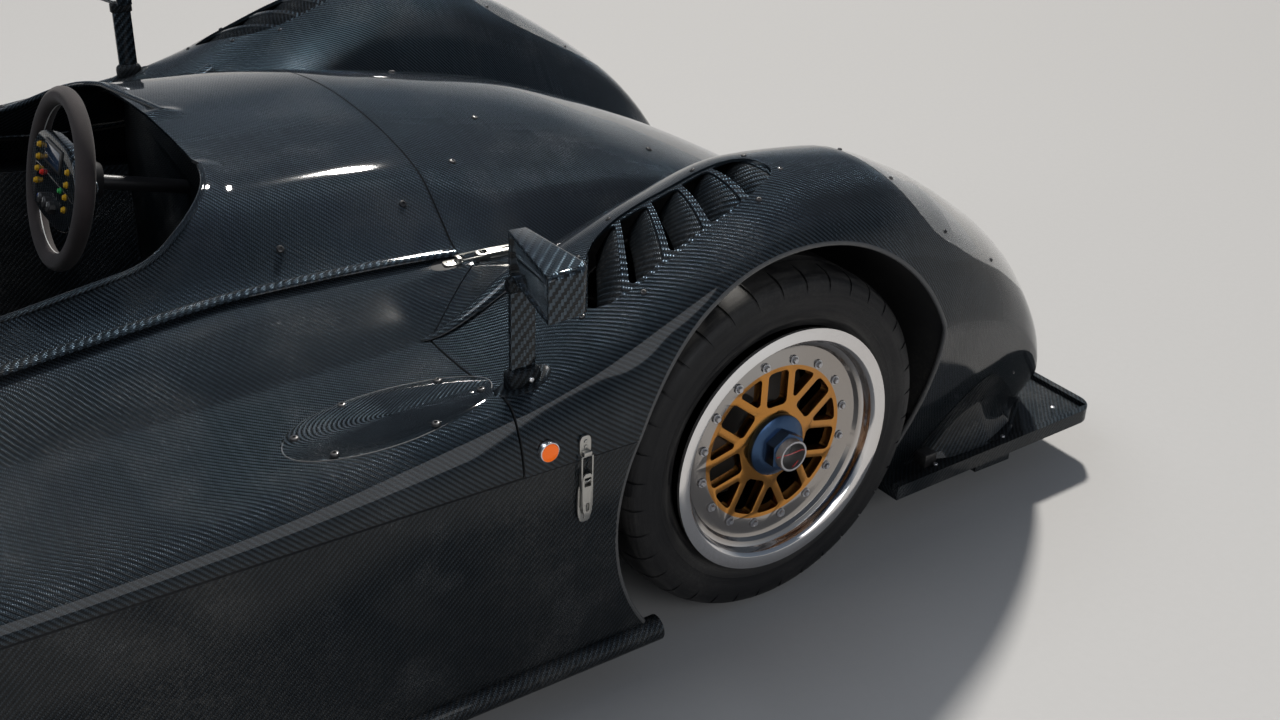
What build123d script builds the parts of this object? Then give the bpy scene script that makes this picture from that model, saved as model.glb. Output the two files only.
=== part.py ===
from build123d import *
from math import cos, hypot, pi, radians, sin, tan
import os

os.makedirs("parts", exist_ok=True)

# Open-cockpit sports prototype race car. Millimetres, X to the nose, Y to the left, Z up, ground at Z = 0.

# Running gear
front_axle_x = 1180.0
rear_axle_x = -1220.0
wheel_face_y = 850.0
running_gap = 0.3
steer_axis_y = 655.0
steer_eye_radius = 20.0
front_tyre_radius = 293.0
front_tyre_width = 205.0
front_flange_radius = 207.5
front_rim_width = 229.0
rear_tyre_radius = 313.0
rear_tyre_width = 262.0
rear_flange_radius = 220.0
rear_rim_width = 280.0
rim_wall = 6.0
rim_centre_recess = 32.0
rim_centre_thickness = 18.0
spoke_count = 7
spoke_arm_width = 13.0
tyre_facets = 72
disc_radius = 140.0
disc_thickness = 26.0
caliper_length = 110.0
spindle_radius = 22.0
hub_radius = 42.0
centre_nut_radius = 52.0
centre_hex_radius = 34.0

# Bodywork
body_half_width = 893.0
panel_seam_z = 432.0
body_bottom_z = 95.0
body_wall = 6.0
front_arch_radius = 345.0
rear_arch_radius = 362.0
front_joint_x = 680.0
rear_joint_x = -640.0
cockpit_rear_x = -336.0
cover_front_x = -358.0
nose_seam_x = 827.0
seam_flange = 2.0
tongue_x = 688.0
tongue_y = 619.0
cockpit_front_x = 535.0
cockpit_rim_width = 24.0
cockpit_rim_rise = 8.0

# Floor
floor_bottom_z = 40.0
floor_thickness = 14.0
splitter_thickness = 18.0

# Body stations in front of the waist, one half. Columns: X from the front axle, height on the centre
# line, Y and Z of the hump's shoulder and of the valley, then the fender's inner edge, crest, outer
# shoulder and side edge as insets from the body's side with their Z, and the inset of the bottom.
# x, centre_z, hump_y, hump_z, valley_y, valley_z, inner_inset, inner_z, crest_inset, crest_z,
# shoulder_inset, shoulder_z, edge_inset, edge_z, bottom_inset
nose_stations = [
    (782, 185, 220, 176, 340, 165, 393, 150, 333, 146, 271, 130, 250, 115, 262),
    (758, 232, 225, 218, 345, 200, 393, 220, 303, 240, 225, 206, 186, 150, 215),
    (725, 280, 230, 262, 355, 228, 393, 278, 281, 322, 191, 276, 154, 200, 196),
    (660, 338, 240, 314, 370, 262, 388, 345, 265, 416, 161, 360, 118, 270, 182),
    (575, 398, 252, 368, 385, 300, 385, 412, 251, 494, 131, 440, 86, 340, 170),
    (460, 462, 268, 428, 402, 345, 383, 482, 239, 574, 103, 522, 55, 400, 155),
    (320, 530, 288, 492, 418, 395, 385, 548, 229, 654, 81, 602, 31, panel_seam_z, 133),
    (180, 588, 305, 546, 428, 435, 390, 592, 229, 706, 65, 654, 13, panel_seam_z, 90),
    (30, 640, 332, 588, 436, 468, 391, 612, 235, 716, 51, 668, 3, panel_seam_z, 18),
    (-120, 672, 356, 606, 446, 497, 385, 596, 243, 676, 43, 640, 0, panel_seam_z, 17),
    (-250, 692, 366, 622, 456, 522, 367, 572, 245, 628, 41, 594, 0, panel_seam_z, 17),
    (-353, 700, 330, 655, 447, 550, 353, 552, 241, 584, 43, 560, 0, panel_seam_z, 17),
]
# The waist, from the front bodywork's joint to the back of the cockpit: same columns.
waist_stations = [
    (-500, 702, 330, 668, 434, 556, 333, 522, 233, 514, 41, 530, 0, panel_seam_z, 17),
    (-680, 704, 338, 672, 424, 553, 323, 520, 221, 508, 45, 508, 0, panel_seam_z, 17),
    (-900, 704, 392, 650, 470, 560, 308, 518, 208, 500, 51, 484, 0, panel_seam_z, 17),
    (-1140, 704, 440, 628, 522, 562, 288, 520, 201, 500, 53, 470, 0, panel_seam_z, 17),
    (-1516, 704, 452, 624, 566, 566, 253, 530, 178, 506, 53, 468, 0, panel_seam_z, 17),
]
# The engine cover and tail: X from the rear axle, then the same columns.
tail_stations = [
    (862, 945, 190, 905, 566, 572, 243, 532, 173, 508, 53, 470, 0, panel_seam_z, 17),
    (580, 935, 190, 892, 478, 596, 333, 564, 187, 560, 45, 532, 0, panel_seam_z, 17),
    (370, 905, 188, 860, 446, 602, 358, 660, 199, 706, 39, 646, 0, panel_seam_z, 17),
    (170, 872, 184, 828, 432, 600, 375, 712, 203, 782, 37, 716, 0, panel_seam_z, 17),
    (0, 838, 180, 794, 422, 592, 379, 726, 203, 800, 37, 734, 0, panel_seam_z, 17),
    (-230, 786, 172, 744, 410, 575, 381, 698, 205, 770, 39, 706, 2, panel_seam_z, 18),
    (-480, 726, 160, 690, 400, 556, 387, 646, 207, 704, 49, 642, 8, panel_seam_z, 20),
    (-740, 664, 150, 636, 390, 532, 393, 588, 213, 628, 65, 572, 23, panel_seam_z, 35),
]


def station_points(row):
    """Outer corner points of one half section, from the centre line out and down."""
    centre_z, hump_y, hump_z, valley_y, valley_z, inner_inset, inner_z = row[1:8]
    crest_inset, crest_z, shoulder_inset, shoulder_z, edge_inset, edge_z, bottom_inset = row[8:15]
    return [
        (0, centre_z),
        (hump_y, hump_z),
        (valley_y, valley_z),
        (body_half_width - inner_inset, inner_z),
        (body_half_width - crest_inset, crest_z),
        (body_half_width - shoulder_inset, shoulder_z),
        (body_half_width - edge_inset, edge_z),
        (body_half_width - bottom_inset, body_bottom_z),
    ]


def inset_points(points, wall):
    """The same corners moved inwards by the wall, square to both of their sides."""
    normals = []
    for (y0, z0), (y1, z1) in zip(points, points[1:]):
        length = hypot(y1 - y0, z1 - z0)
        normals.append(((z1 - z0) / length, (y0 - y1) / length))
    moved = [(points[0][0], points[0][1] - wall)]
    for (y, z), (ny0, nz0), (ny1, nz1) in zip(points[1:-1], normals, normals[1:]):
        reach = wall / (1 + ny0 * ny1 + nz0 * nz1)
        moved.append((y + (ny0 + ny1) * reach, z + (nz0 + nz1) * reach))
    moved.append((points[-1][0] - wall, points[-1][1] - 4 * wall))
    return moved


def half_section(x, points, start_y):
    """One closed half section as a face square to X."""
    centre, hump, valley, inner, crest, shoulder, edge, bottom = points
    with BuildSketch(Plane.YZ.offset(x)) as section:
        with BuildLine():
            Line((start_y, bottom[1]), (start_y, centre[1]))
            if start_y != centre[0]:
                Line((start_y, centre[1]), centre)
            TangentArc(centre, hump, tangent=(1, 0))
            Line(hump, valley)
            Line(valley, inner)
            ThreePointArc(inner, crest, shoulder)
            TangentArc(edge, shoulder, tangent=(0, 1))
            Line(edge, bottom)
            Line(bottom, (start_y, bottom[1]))
        make_face()
    return section.sketch.face()


body_stations = (
    [(front_axle_x + row[0], station_points(row)) for row in nose_stations + waist_stations]
    + [(rear_axle_x + row[0], station_points(row)) for row in tail_stations]
)
nose_x = body_stations[0][0]
tail_x = body_stations[-1][0]

# The half shell that every body panel is cut from, closed at the nose and the tail, open below.
with BuildPart() as body_outside:
    loft([half_section(x, points, 0) for x, points in body_stations], ruled=True)

inside_start_y = -body_wall
inside_stations = [(x, inset_points(points, body_wall)) for x, points in body_stations]
inside_stations[0] = (nose_x - body_wall, inside_stations[0][1])
inside_stations[-1] = (tail_x + body_wall, inside_stations[-1][1])
with BuildPart() as body_inside:
    loft([half_section(x, points, inside_start_y) for x, points in inside_stations], ruled=True)

half_shell = body_outside.part - body_inside.part

# Plan outlines of the panels, left half, from the seams that they share.
beyond_side_y = body_half_width + 2 * body_wall
beyond_top_z = 1200.0


def valley_seam(from_x, to_x):
    """Plan points of a seam that runs just outside the valley, front to back."""
    return [(x, points[2][0] + seam_flange) for x, points in body_stations if to_x <= x <= from_x]


surround_seam = valley_seam(nose_seam_x, cockpit_rear_x)
cover_seam = valley_seam(cover_front_x, rear_joint_x)
tongue_seam = [
    surround_seam[0], (nose_seam_x + 13, 480), (tongue_x, tongue_y), (front_joint_x, beyond_side_y)
]
front_plan = [(nose_x + body_wall, 0), (nose_seam_x, 0)] + tongue_seam + [(nose_x + body_wall, beyond_side_y)]
surround_plan = [(nose_seam_x, 0)] + surround_seam + [(cockpit_rear_x, 0)]
side_pod_plan = tongue_seam + [(rear_joint_x, beyond_side_y)] + cover_seam[::-1] + surround_seam[:0:-1]
rear_plan = (
    [(cover_front_x, 0)]
    + cover_seam
    + [(rear_joint_x, beyond_side_y), (tail_x - body_wall, beyond_side_y), (tail_x - body_wall, 0)]
)
cockpit_corners = [(cockpit_front_x, 0), (500, 318), (373, 402), (150, 455), (cockpit_rear_x, 478)]
cockpit_corner_radii = [80, 150, 300]
headlamp_plan = [
    (1375, 640), (1400, 735), (1455, 828), (1600, 822), (1765, 783),
    (1850, 730), (1866, 650), (1760, 575), (1500, 560),
]
headlamp_lower_plan = [(1600, 800), (1765, 783), (1850, 730), (1866, 650), (1760, 575), (1600, 566)]
headlamp_bottom_z = 290.0
# Corners of the louvre panel: inner front, outer front, outer rear, inner rear.
louvre_plan = [(1212, 640), (1225, 770), (802, 822), (942, 618)]
louvre_slot_count = 5
louvre_side_share = 0.11
louvre_end_share = 0.045
louvre_bar_share = 0.028
louvre_blade_tilt = 14.0


def prism(points, low_z, high_z):
    """An upright block over a plan outline."""
    with BuildPart() as block:
        with BuildSketch(Plane.XY.offset(low_z)):
            with BuildLine():
                Polyline(*points, close=True)
            make_face()
        extrude(amount=high_z - low_z)
    return block.part


def cockpit_block(grow):
    """An upright block over the left half of the cockpit opening, grown by a margin."""
    with BuildPart() as block:
        with BuildSketch(Plane.XY.offset(panel_seam_z)):
            with BuildLine():
                FilletPolyline(*cockpit_corners, radius=cockpit_corner_radii)
                Polyline(cockpit_corners[-1], (cockpit_rear_x, 0), cockpit_corners[0])
            make_face()
            if grow:
                offset(amount=grow)
        extrude(amount=beyond_top_z - panel_seam_z)
    return block.part


def skin_point(x, y):
    """The point of the left body skin above a place in plan."""
    hits = body_outside.part.find_intersection_points(Axis((x, y, 0), (0, 0, 1)))
    return max((hit[0] for hit in hits), key=lambda point: point.Z)


def wheel_drum(axle_x, axle_z, radius, from_y, to_y):
    """A cylinder along a left wheel's axle."""
    with BuildPart() as drum:
        with BuildSketch(Plane(origin=(axle_x, to_y, axle_z), x_dir=(1, 0, 0), z_dir=(0, -1, 0))):
            Circle(radius)
        extrude(amount=to_y - from_y)
    return drum.part


headlamp_block = prism(headlamp_plan, panel_seam_z, beyond_top_z) + prism(
    headlamp_lower_plan, headlamp_bottom_z, panel_seam_z + seam_flange
)
front_arch = wheel_drum(front_axle_x, front_tyre_radius, front_arch_radius, 600, beyond_side_y)
rear_arch = wheel_drum(rear_axle_x, rear_tyre_radius, rear_arch_radius, 600, beyond_side_y)
skirt_block = prism(
    [(rear_joint_x, 700), (rear_joint_x, beyond_side_y), (front_axle_x, beyond_side_y), (front_axle_x, 700)],
    0,
    panel_seam_z,
)


def save(shape, name):
    """Label a finished piece and write it."""
    shape.label = name
    export_step(shape, f"parts/{name}.step")


def save_pair(left_shape, name):
    """Write a left piece and its mirror image on the right, each as its own node."""
    save(left_shape, f"{name}_left")
    save(mirror(left_shape, about=Plane.XZ), f"{name}_right")


with BuildPart() as front_half:
    add(half_shell)
    add(prism(front_plan, 0, beyond_top_z), mode=Mode.INTERSECT)
    add(skirt_block, mode=Mode.SUBTRACT)
    add(front_arch, mode=Mode.SUBTRACT)
    add(headlamp_block, mode=Mode.SUBTRACT)
    add(prism(louvre_plan, panel_seam_z, beyond_top_z), mode=Mode.SUBTRACT)
with BuildPart() as front_bodywork:
    add(front_half.part)
    mirror(about=Plane.XZ)
save(front_bodywork.part, "front_bodywork")

# The surround rises to a rolled rim round the cockpit opening.
with BuildPart() as rolled_rim:
    add(body_outside.part.moved(Location((0, 0, cockpit_rim_rise))))
    add(cockpit_block(cockpit_rim_width), mode=Mode.INTERSECT)
with BuildPart() as surround_half:
    add(body_outside.part)
    add(rolled_rim.part)
    add(body_inside.part, mode=Mode.SUBTRACT)
    add(prism(surround_plan, panel_seam_z, beyond_top_z), mode=Mode.INTERSECT)
    add(cockpit_block(0), mode=Mode.SUBTRACT)
with BuildPart() as cockpit_surround:
    add(surround_half.part)
    mirror(about=Plane.XZ)
save(cockpit_surround.part, "cockpit_surround")

with BuildPart() as side_pod:
    add(half_shell)
    add(prism(side_pod_plan, panel_seam_z, beyond_top_z), mode=Mode.INTERSECT)
save_pair(side_pod.part, "side_pod")

with BuildPart() as side_skirt:
    add(half_shell)
    add(skirt_block, mode=Mode.INTERSECT)
    add(front_arch, mode=Mode.SUBTRACT)
save_pair(side_skirt.part, "side_skirt")

tail_bottom_z = 262.0
tail_cut_x = rear_axle_x - rear_arch_radius + 82
tail_cut_plan = [
    (tail_x - body_wall, 0),
    (tail_x - body_wall, beyond_side_y),
    (tail_cut_x, beyond_side_y),
    (tail_cut_x, 0),
]
# Vent slots in the tail's face. Columns: Y from and to, Z of the lowest slot, number of rows.
tail_vents = [(60, 350, 285, 5), (480, 760, 285, 3)]
vent_height = 30.0
vent_pitch = 44.0
exhaust_radius = 38.0
exhaust_z = 390.0
exhaust_hole_gap = 10.0
with BuildPart() as rear_half:
    add(half_shell)
    add(prism(rear_plan, 0, beyond_top_z), mode=Mode.INTERSECT)
    add(rear_arch, mode=Mode.SUBTRACT)
    add(prism(tail_cut_plan, 0, tail_bottom_z), mode=Mode.SUBTRACT)
    with BuildSketch(Plane.YZ.offset(tail_x - body_wall)):
        for from_y, to_y, first_z, rows in tail_vents:
            for row in range(rows):
                with Locations(((from_y + to_y) / 2, first_z + row * vent_pitch + vent_height / 2)):
                    RectangleRounded(to_y - from_y, vent_height, vent_height / 3)
        with Locations((0, exhaust_z)):
            Circle(exhaust_radius + exhaust_hole_gap)
    extrude(amount=3 * body_wall, mode=Mode.SUBTRACT)
with BuildPart() as rear_bodywork:
    add(rear_half.part)
    mirror(about=Plane.XZ)
save(rear_bodywork.part, "rear_bodywork")

# Clear covers and louvre panels fill the windows of the front bodywork.
with BuildPart() as headlamp_cover:
    add(half_shell)
    add(headlamp_block, mode=Mode.INTERSECT)
with BuildPart() as headlamp_covers:
    add(headlamp_cover.part)
    mirror(about=Plane.XZ)
save(headlamp_covers.part, "headlamp_covers")


def louvre_place(along, across):
    """A place on the louvre panel in plan: shares of its way from rear to front and from inside out."""
    inner_front, outer_front, outer_rear, inner_rear = louvre_plan
    rear = [a + (b - a) * across for a, b in zip(inner_rear, outer_rear)]
    front = [a + (b - a) * across for a, b in zip(inner_front, outer_front)]
    return tuple(a + (b - a) * along for a, b in zip(rear, front))


def louvre_field(from_along, to_along, side_share):
    """Plan outline of a stretch of the panel between two shares of its length."""
    return [
        louvre_place(from_along, side_share),
        louvre_place(from_along, 1 - side_share),
        louvre_place(to_along, 1 - side_share),
        louvre_place(to_along, side_share),
    ]


# Each slot is half covered by a blade: its rear edge lies just under the skin and its front edge dips inside.
louvre_pitch = (1 - 2 * louvre_end_share + louvre_bar_share) / louvre_slot_count
blade_reach = 0.55
blade_tuck_share = 0.02
blade_lead = 0.01
blade_step = 1.0
with BuildPart() as louvre_panel:
    add(half_shell)
    add(prism(louvre_plan, panel_seam_z, beyond_top_z), mode=Mode.INTERSECT)
    for slot in range(louvre_slot_count):
        slot_rear = louvre_end_share + slot * louvre_pitch
        slot_front = slot_rear + louvre_pitch - louvre_bar_share
        blade_rear = slot_front - blade_reach * (slot_front - slot_rear)
        add(
            prism(louvre_field(slot_rear, slot_front, louvre_side_share), panel_seam_z, beyond_top_z),
            mode=Mode.SUBTRACT,
        )
        edge_start = skin_point(*louvre_place(blade_rear, louvre_side_share))
        edge_end = skin_point(*louvre_place(blade_rear, 1 - louvre_side_share))
        blade_edge = Axis(edge_start, edge_end - edge_start)
        blade_field = louvre_field(blade_rear, slot_front + blade_lead, louvre_side_share - blade_tuck_share)
        blade = half_shell.moved(Location((0, 0, -blade_step))).rotate(blade_edge, louvre_blade_tilt)
        add(blade & prism(blade_field, panel_seam_z, beyond_top_z))
with BuildPart() as louvre_panels:
    add(louvre_panel.part)
    mirror(about=Plane.XZ)
save(louvre_panels.part, "louvre_panels")

# Liners round the wheels inside the bodywork, open under the louvre panels.
liner_wall = 3.0
liner_inner_y = 482.0
liner_bottom_z = 230.0
liner_cut_align = (Align.CENTER, Align.CENTER, Align.MAX)


def wheel_liner(axle_x, axle_z, arch_radius):
    """A half pipe over a left wheel, from the bay's inner side out to the skin."""
    with BuildPart() as liner:
        add(wheel_drum(axle_x, axle_z, arch_radius + liner_wall, liner_inner_y, beyond_side_y))
        add(wheel_drum(axle_x, axle_z, arch_radius, liner_inner_y, beyond_side_y), mode=Mode.SUBTRACT)
        add(body_inside.part, mode=Mode.INTERSECT)
        with Locations((axle_x, 0, liner_bottom_z)):
            Box(
                4 * arch_radius, 4 * beyond_side_y, 2 * liner_bottom_z,
                align=liner_cut_align, mode=Mode.SUBTRACT,
            )
        add(prism(louvre_plan, liner_bottom_z, beyond_top_z), mode=Mode.SUBTRACT)
    return liner.part


with BuildPart() as wheel_liners:
    add(wheel_liner(front_axle_x, front_tyre_radius, front_arch_radius))
    add(wheel_liner(rear_axle_x, rear_tyre_radius, rear_arch_radius))
    mirror(about=Plane.XZ)
save(wheel_liners.part, "wheel_liners")

# Floor tray between the wheels, with the skid plank beneath, wide only between the axles.
floor_top_z = floor_bottom_z + floor_thickness
floor_front_x = 1420.0
floor_rear_x = -1560.0
floor_narrow_y = 470.0
sill_radius = 20.0
sill_y = body_half_width - sill_radius
floor_wide_y = sill_y - sill_radius - running_gap
sill_front_x = 905.0
sill_rear_x = -790.0
floor_plan = [
    (floor_front_x, 0),
    (floor_front_x, floor_narrow_y),
    (sill_front_x, floor_narrow_y),
    (sill_front_x - 60, floor_wide_y),
    (sill_rear_x + 60, floor_wide_y),
    (sill_rear_x, floor_narrow_y),
    (floor_rear_x, floor_narrow_y),
    (floor_rear_x, 0),
]
with BuildPart() as floor_tray:
    add(prism(floor_plan, floor_bottom_z, floor_top_z))
    mirror(about=Plane.XZ)
save(floor_tray.part, "floor_tray")

# Rolled skirt edge along each sill, a tube under the side skirt.
sill_z = body_bottom_z - sill_radius
with BuildPart() as sill_rolls:
    with BuildSketch(Plane(origin=(sill_rear_x + 60, sill_y, sill_z), z_dir=(1, 0, 0))):
        Circle(sill_radius)
    extrude(amount=sill_front_x + 20 - sill_rear_x - 60)
    mirror(about=Plane.XZ)
save(sill_rolls.part, "sill_rolls")

# Splitter plate under the nose with turned-up outer corners.
splitter_top_z = body_bottom_z
splitter_front_x = 2040.0
splitter_rear_x = floor_front_x
splitter_plan = [
    (splitter_front_x, 0),
    (splitter_front_x, 560),
    (2030, 800),
    (1486, 812),
    (1486, 620),
    (splitter_rear_x, floor_narrow_y),
    (splitter_rear_x, 0),
]
# A raised edge along its outer side, a rounded front corner and a flared foot up the fender's flank.
splitter_edge_width = 14.0
splitter_edge_rise = 9.0
splitter_corner_radius = 45.0
splitter_flare = [(1590, 735), (1780, 795), (1940, 690), (1800, 640)]
splitter_flare_top = (1722, 770, 250)
flare_top_size = 14.0
skid_plan = [(1700, 720), (1700, 800), (1790, 800), (1790, 720)]
with BuildPart() as splitter:
    add(prism(splitter_plan, splitter_top_z - splitter_thickness, splitter_top_z + splitter_edge_rise))
    corner_edges = splitter.edges().filter_by(Axis.Z).filter_by(lambda edge: edge.center().X > 2000)
    fillet(corner_edges.filter_by(lambda edge: edge.center().Y > 700), splitter_corner_radius)
    edge_strip = [
        (splitter_front_x + splitter_edge_width, -1),
        (splitter_front_x - splitter_edge_width, -1),
        (splitter_front_x - splitter_edge_width, 560),
        (2030 - splitter_edge_width, 800 - splitter_edge_width),
        (1486 - splitter_edge_width, 812 - splitter_edge_width),
        (1486 - splitter_edge_width, 500),
        (splitter_rear_x - splitter_edge_width, floor_narrow_y),
        (splitter_rear_x - splitter_edge_width, -1),
    ]
    add(prism(edge_strip, splitter_top_z, splitter_top_z + splitter_edge_rise), mode=Mode.SUBTRACT)
    with BuildSketch(Plane.XY.offset(splitter_top_z)) as flare_foot:
        with BuildLine():
            Polyline(*splitter_flare, close=True)
        make_face()
    with BuildSketch(Plane.XY.offset(splitter_flare_top[2])) as flare_head:
        with Locations(splitter_flare_top[:2]):
            Rectangle(flare_top_size, flare_top_size)
    loft([flare_foot.sketch.face(), flare_head.sketch.face()], ruled=True)
    add(body_outside.part, mode=Mode.SUBTRACT)
    add(prism(skid_plan, splitter_top_z - 2 * splitter_thickness, splitter_top_z - splitter_thickness))
    mirror(about=Plane.XZ)
save(splitter.part, "splitter")

# Hollow tub: bottom, side boxes, front bulkhead and seat-back bulkhead, with the nose box ahead of it.
tub_bottom_z = floor_top_z
tub_top_z = 505.0
tub_half_width = 470.0
tub_wall = 28.0
tub_taper = 140.0
tub_taper_x = 350.0
tub_front_x = 815.0
tub_rear_x = -400.0
tub_inner_half_width = tub_half_width - 2 * tub_wall
tub_inner_front_x = tub_front_x - tub_wall
nose_box_front_x = floor_front_x
nose_box_half_width = 236.0
nose_box_top_z = 400.0
with BuildPart() as tub:
    with BuildSketch(Plane.XY.offset(tub_bottom_z)):
        with BuildLine():
            Polyline(
                (tub_rear_x, -tub_half_width),
                (tub_taper_x, -tub_half_width),
                (tub_front_x, -tub_half_width + tub_taper),
                (tub_front_x, tub_half_width - tub_taper),
                (tub_taper_x, tub_half_width),
                (tub_rear_x, tub_half_width),
                close=True,
            )
        make_face()
    extrude(amount=tub_top_z - tub_bottom_z)
    with BuildSketch(Plane.XY.offset(tub_bottom_z + tub_wall)):
        with BuildLine():
            Polyline(
                (tub_rear_x + tub_wall, -tub_inner_half_width),
                (tub_taper_x, -tub_inner_half_width),
                (tub_inner_front_x, -tub_inner_half_width + tub_taper),
                (tub_inner_front_x, tub_inner_half_width - tub_taper),
                (tub_taper_x, tub_inner_half_width),
                (tub_rear_x + tub_wall, tub_inner_half_width),
                close=True,
            )
        make_face()
    extrude(amount=tub_top_z, mode=Mode.SUBTRACT)
    with BuildSketch(Plane.XY.offset(tub_bottom_z)):
        with BuildLine():
            Polyline(
                (tub_front_x, -nose_box_half_width),
                (nose_box_front_x, -nose_box_half_width),
                (nose_box_front_x, nose_box_half_width),
                (tub_front_x, nose_box_half_width),
                close=True,
            )
        make_face()
    extrude(amount=nose_box_top_z - tub_bottom_z)
save(tub.part, "monocoque_tub")

# Seat, a moulded shell that follows the back bulkhead.
seat_half_width = 215.0
seat_wall = 22.0
tub_floor_z = tub_bottom_z + tub_wall
with BuildPart() as seat:
    with BuildSketch(Plane.XZ.offset(-seat_half_width)):
        with BuildLine():
            Polyline(
                (210, tub_floor_z + running_gap),
                (210, tub_floor_z + 70),
                (100, tub_floor_z + 42),
                (-50, tub_floor_z + 60),
                (-255, 560),
                (-290, 600),
                (-318, 600),
                (-305, 480),
                (-150, tub_floor_z + running_gap),
                close=True,
            )
        make_face()
    extrude(amount=2 * seat_half_width)
save(seat.part, "seat")

# Dash panel across the cockpit with a bush for the steering shaft.
steering_centre_x = 360.0
steering_centre_z = 622.0
steering_tilt = 14.0
steering_ring_radius = 132.0
steering_rim_radius = 14.0
steering_shaft_radius = 12.0
dash_x = 560.0
dash_thickness = 14.0
dash_top_z = tub_top_z + 135.0
dash_drop = 190.0
dash_back_share = (dash_x + dash_thickness - tub_taper_x) / (tub_inner_front_x - tub_taper_x)
dash_half_width = tub_inner_half_width - tub_taper * dash_back_share - running_gap
shaft_axis = Plane(
    origin=(steering_centre_x, 0, steering_centre_z),
    x_dir=(0, 1, 0),
    z_dir=(-cos(radians(steering_tilt)), 0, sin(radians(steering_tilt))),
)
with BuildPart() as dash_panel:
    with BuildSketch(Plane.YZ.offset(dash_x)):
        with BuildLine():
            Polyline(
                (-dash_half_width, tub_top_z - dash_drop),
                (-dash_half_width, tub_top_z + 40),
                (-dash_half_width + 30, dash_top_z),
                (dash_half_width - 30, dash_top_z),
                (dash_half_width, tub_top_z + 40),
                (dash_half_width, tub_top_z - dash_drop),
                close=True,
            )
        make_face()
    extrude(amount=dash_thickness)
    with BuildSketch(shaft_axis.offset(-400)):
        Circle(steering_shaft_radius + running_gap)
    extrude(amount=400, mode=Mode.SUBTRACT)
save(dash_panel.part, "dash_panel")

# Steering wheel, boss and shaft in one turning piece.
with BuildPart() as steering_wheel:
    with BuildSketch(Plane(origin=shaft_axis.origin, x_dir=shaft_axis.x_dir, z_dir=shaft_axis.y_dir)):
        with Locations((steering_ring_radius, 0)):
            Circle(steering_rim_radius)
    revolve(axis=Axis(shaft_axis.origin, shaft_axis.z_dir))
    with BuildSketch(shaft_axis.offset(-10)):
        Rectangle(2 * steering_ring_radius, 60)
        Circle(60)
    extrude(amount=20)
    with BuildSketch(shaft_axis.offset(-250)):
        Circle(steering_shaft_radius)
    extrude(amount=242)
save(steering_wheel.part, "steering_wheel")


def bar(start, end, radius):
    """A round bar from one point to another."""
    direction = Vector(*end) - Vector(*start)
    with BuildPart() as rod:
        with BuildSketch(Plane(origin=start, z_dir=direction)):
            Circle(radius)
        extrude(amount=direction.length)
    return rod.part


# Each corner: upper and lower wishbones from the tub to an eye on the steering axis.
arm_radius = 11.0
arm_spread_x = 150.0
arm_inner_y = 300.0
upper_arm_z = 405.0
lower_arm_z = 165.0
eye_height = 24.0
knuckle_gap = 0.3
gearbox_half_width = 190.0


def wishbones(axle_x, inner_y, name):
    """Both wishbones of both sides of one axle, each a pair of bars that meet in an eye."""
    with BuildPart() as arms:
        for arm_z in (upper_arm_z, lower_arm_z):
            with BuildSketch(Plane.XY.offset(arm_z - eye_height / 2)):
                with Locations((axle_x, steer_axis_y)):
                    Circle(steer_eye_radius)
            extrude(amount=eye_height)
            for side in (-1, 1):
                add(
                    bar(
                        (axle_x + side * arm_spread_x, inner_y - 2 * arm_radius, arm_z),
                        (axle_x + side * steer_eye_radius / 2, steer_axis_y - steer_eye_radius / 2, arm_z),
                        arm_radius,
                    )
                )
        with Locations((axle_x, 0, lower_arm_z)):
            Box(4 * arm_spread_x, 2 * inner_y, 2 * upper_arm_z, mode=Mode.SUBTRACT)
        mirror(about=Plane.XZ)
    save(arms.part, name)


wishbones(front_axle_x, nose_box_half_width, "front_wishbones")
wishbones(rear_axle_x, gearbox_half_width, "rear_wishbones")


disc_y = steer_axis_y + 40
disc_clearance = 4.0
caliper_reach = 16.0
caliper_depth = 62.0
caliper_cheek = 22.0
caliper_align = (Align.MIN, Align.CENTER, Align.CENTER)
caliper_arm_align = (Align.MIN, Align.MIN, Align.CENTER)


def knuckle(axle_x, axle_z):
    """Upright between the wishbone eyes with its spindle and brake caliper, left side."""
    low_z = lower_arm_z + eye_height / 2 + knuckle_gap
    high_z = upper_arm_z - eye_height / 2 - knuckle_gap
    spindle_end_y = wheel_face_y - rim_centre_recess + 20
    caliper_x = axle_x - disc_radius - caliper_reach
    caliper_y = disc_y + disc_thickness / 2
    with BuildPart() as upright:
        with Locations((caliper_x, caliper_y, axle_z)):
            Box(caliper_depth, disc_thickness + 2 * caliper_cheek, caliper_length, align=caliper_align)
        with BuildSketch(Plane(origin=(axle_x, disc_y - disc_clearance, axle_z), z_dir=(0, 1, 0))):
            Circle(disc_radius + disc_clearance)
        extrude(amount=disc_thickness + 2 * disc_clearance, mode=Mode.SUBTRACT)
        with Locations((caliper_x + caliper_depth / 2, steer_axis_y, axle_z)):
            Box(
                axle_x - caliper_x, disc_y - disc_clearance - steer_axis_y, caliper_length / 2,
                align=caliper_arm_align,
            )
        with BuildSketch(Plane.XY.offset(low_z)):
            with Locations((axle_x, steer_axis_y + 5)):
                Rectangle(70, 40)
        extrude(amount=high_z - low_z)
        with BuildSketch(Plane(origin=(axle_x, steer_axis_y, axle_z), z_dir=(0, 1, 0))):
            Circle(spindle_radius)
        extrude(amount=spindle_end_y - steer_axis_y)
    return upright.part


front_knuckle = knuckle(front_axle_x, front_tyre_radius)
save_pair(front_knuckle, "front_knuckle")
rear_upright = knuckle(rear_axle_x, rear_tyre_radius)
with BuildPart() as rear_uprights:
    add(rear_upright)
    mirror(about=Plane.XZ)
save(rear_uprights.part, "rear_uprights")


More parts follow.
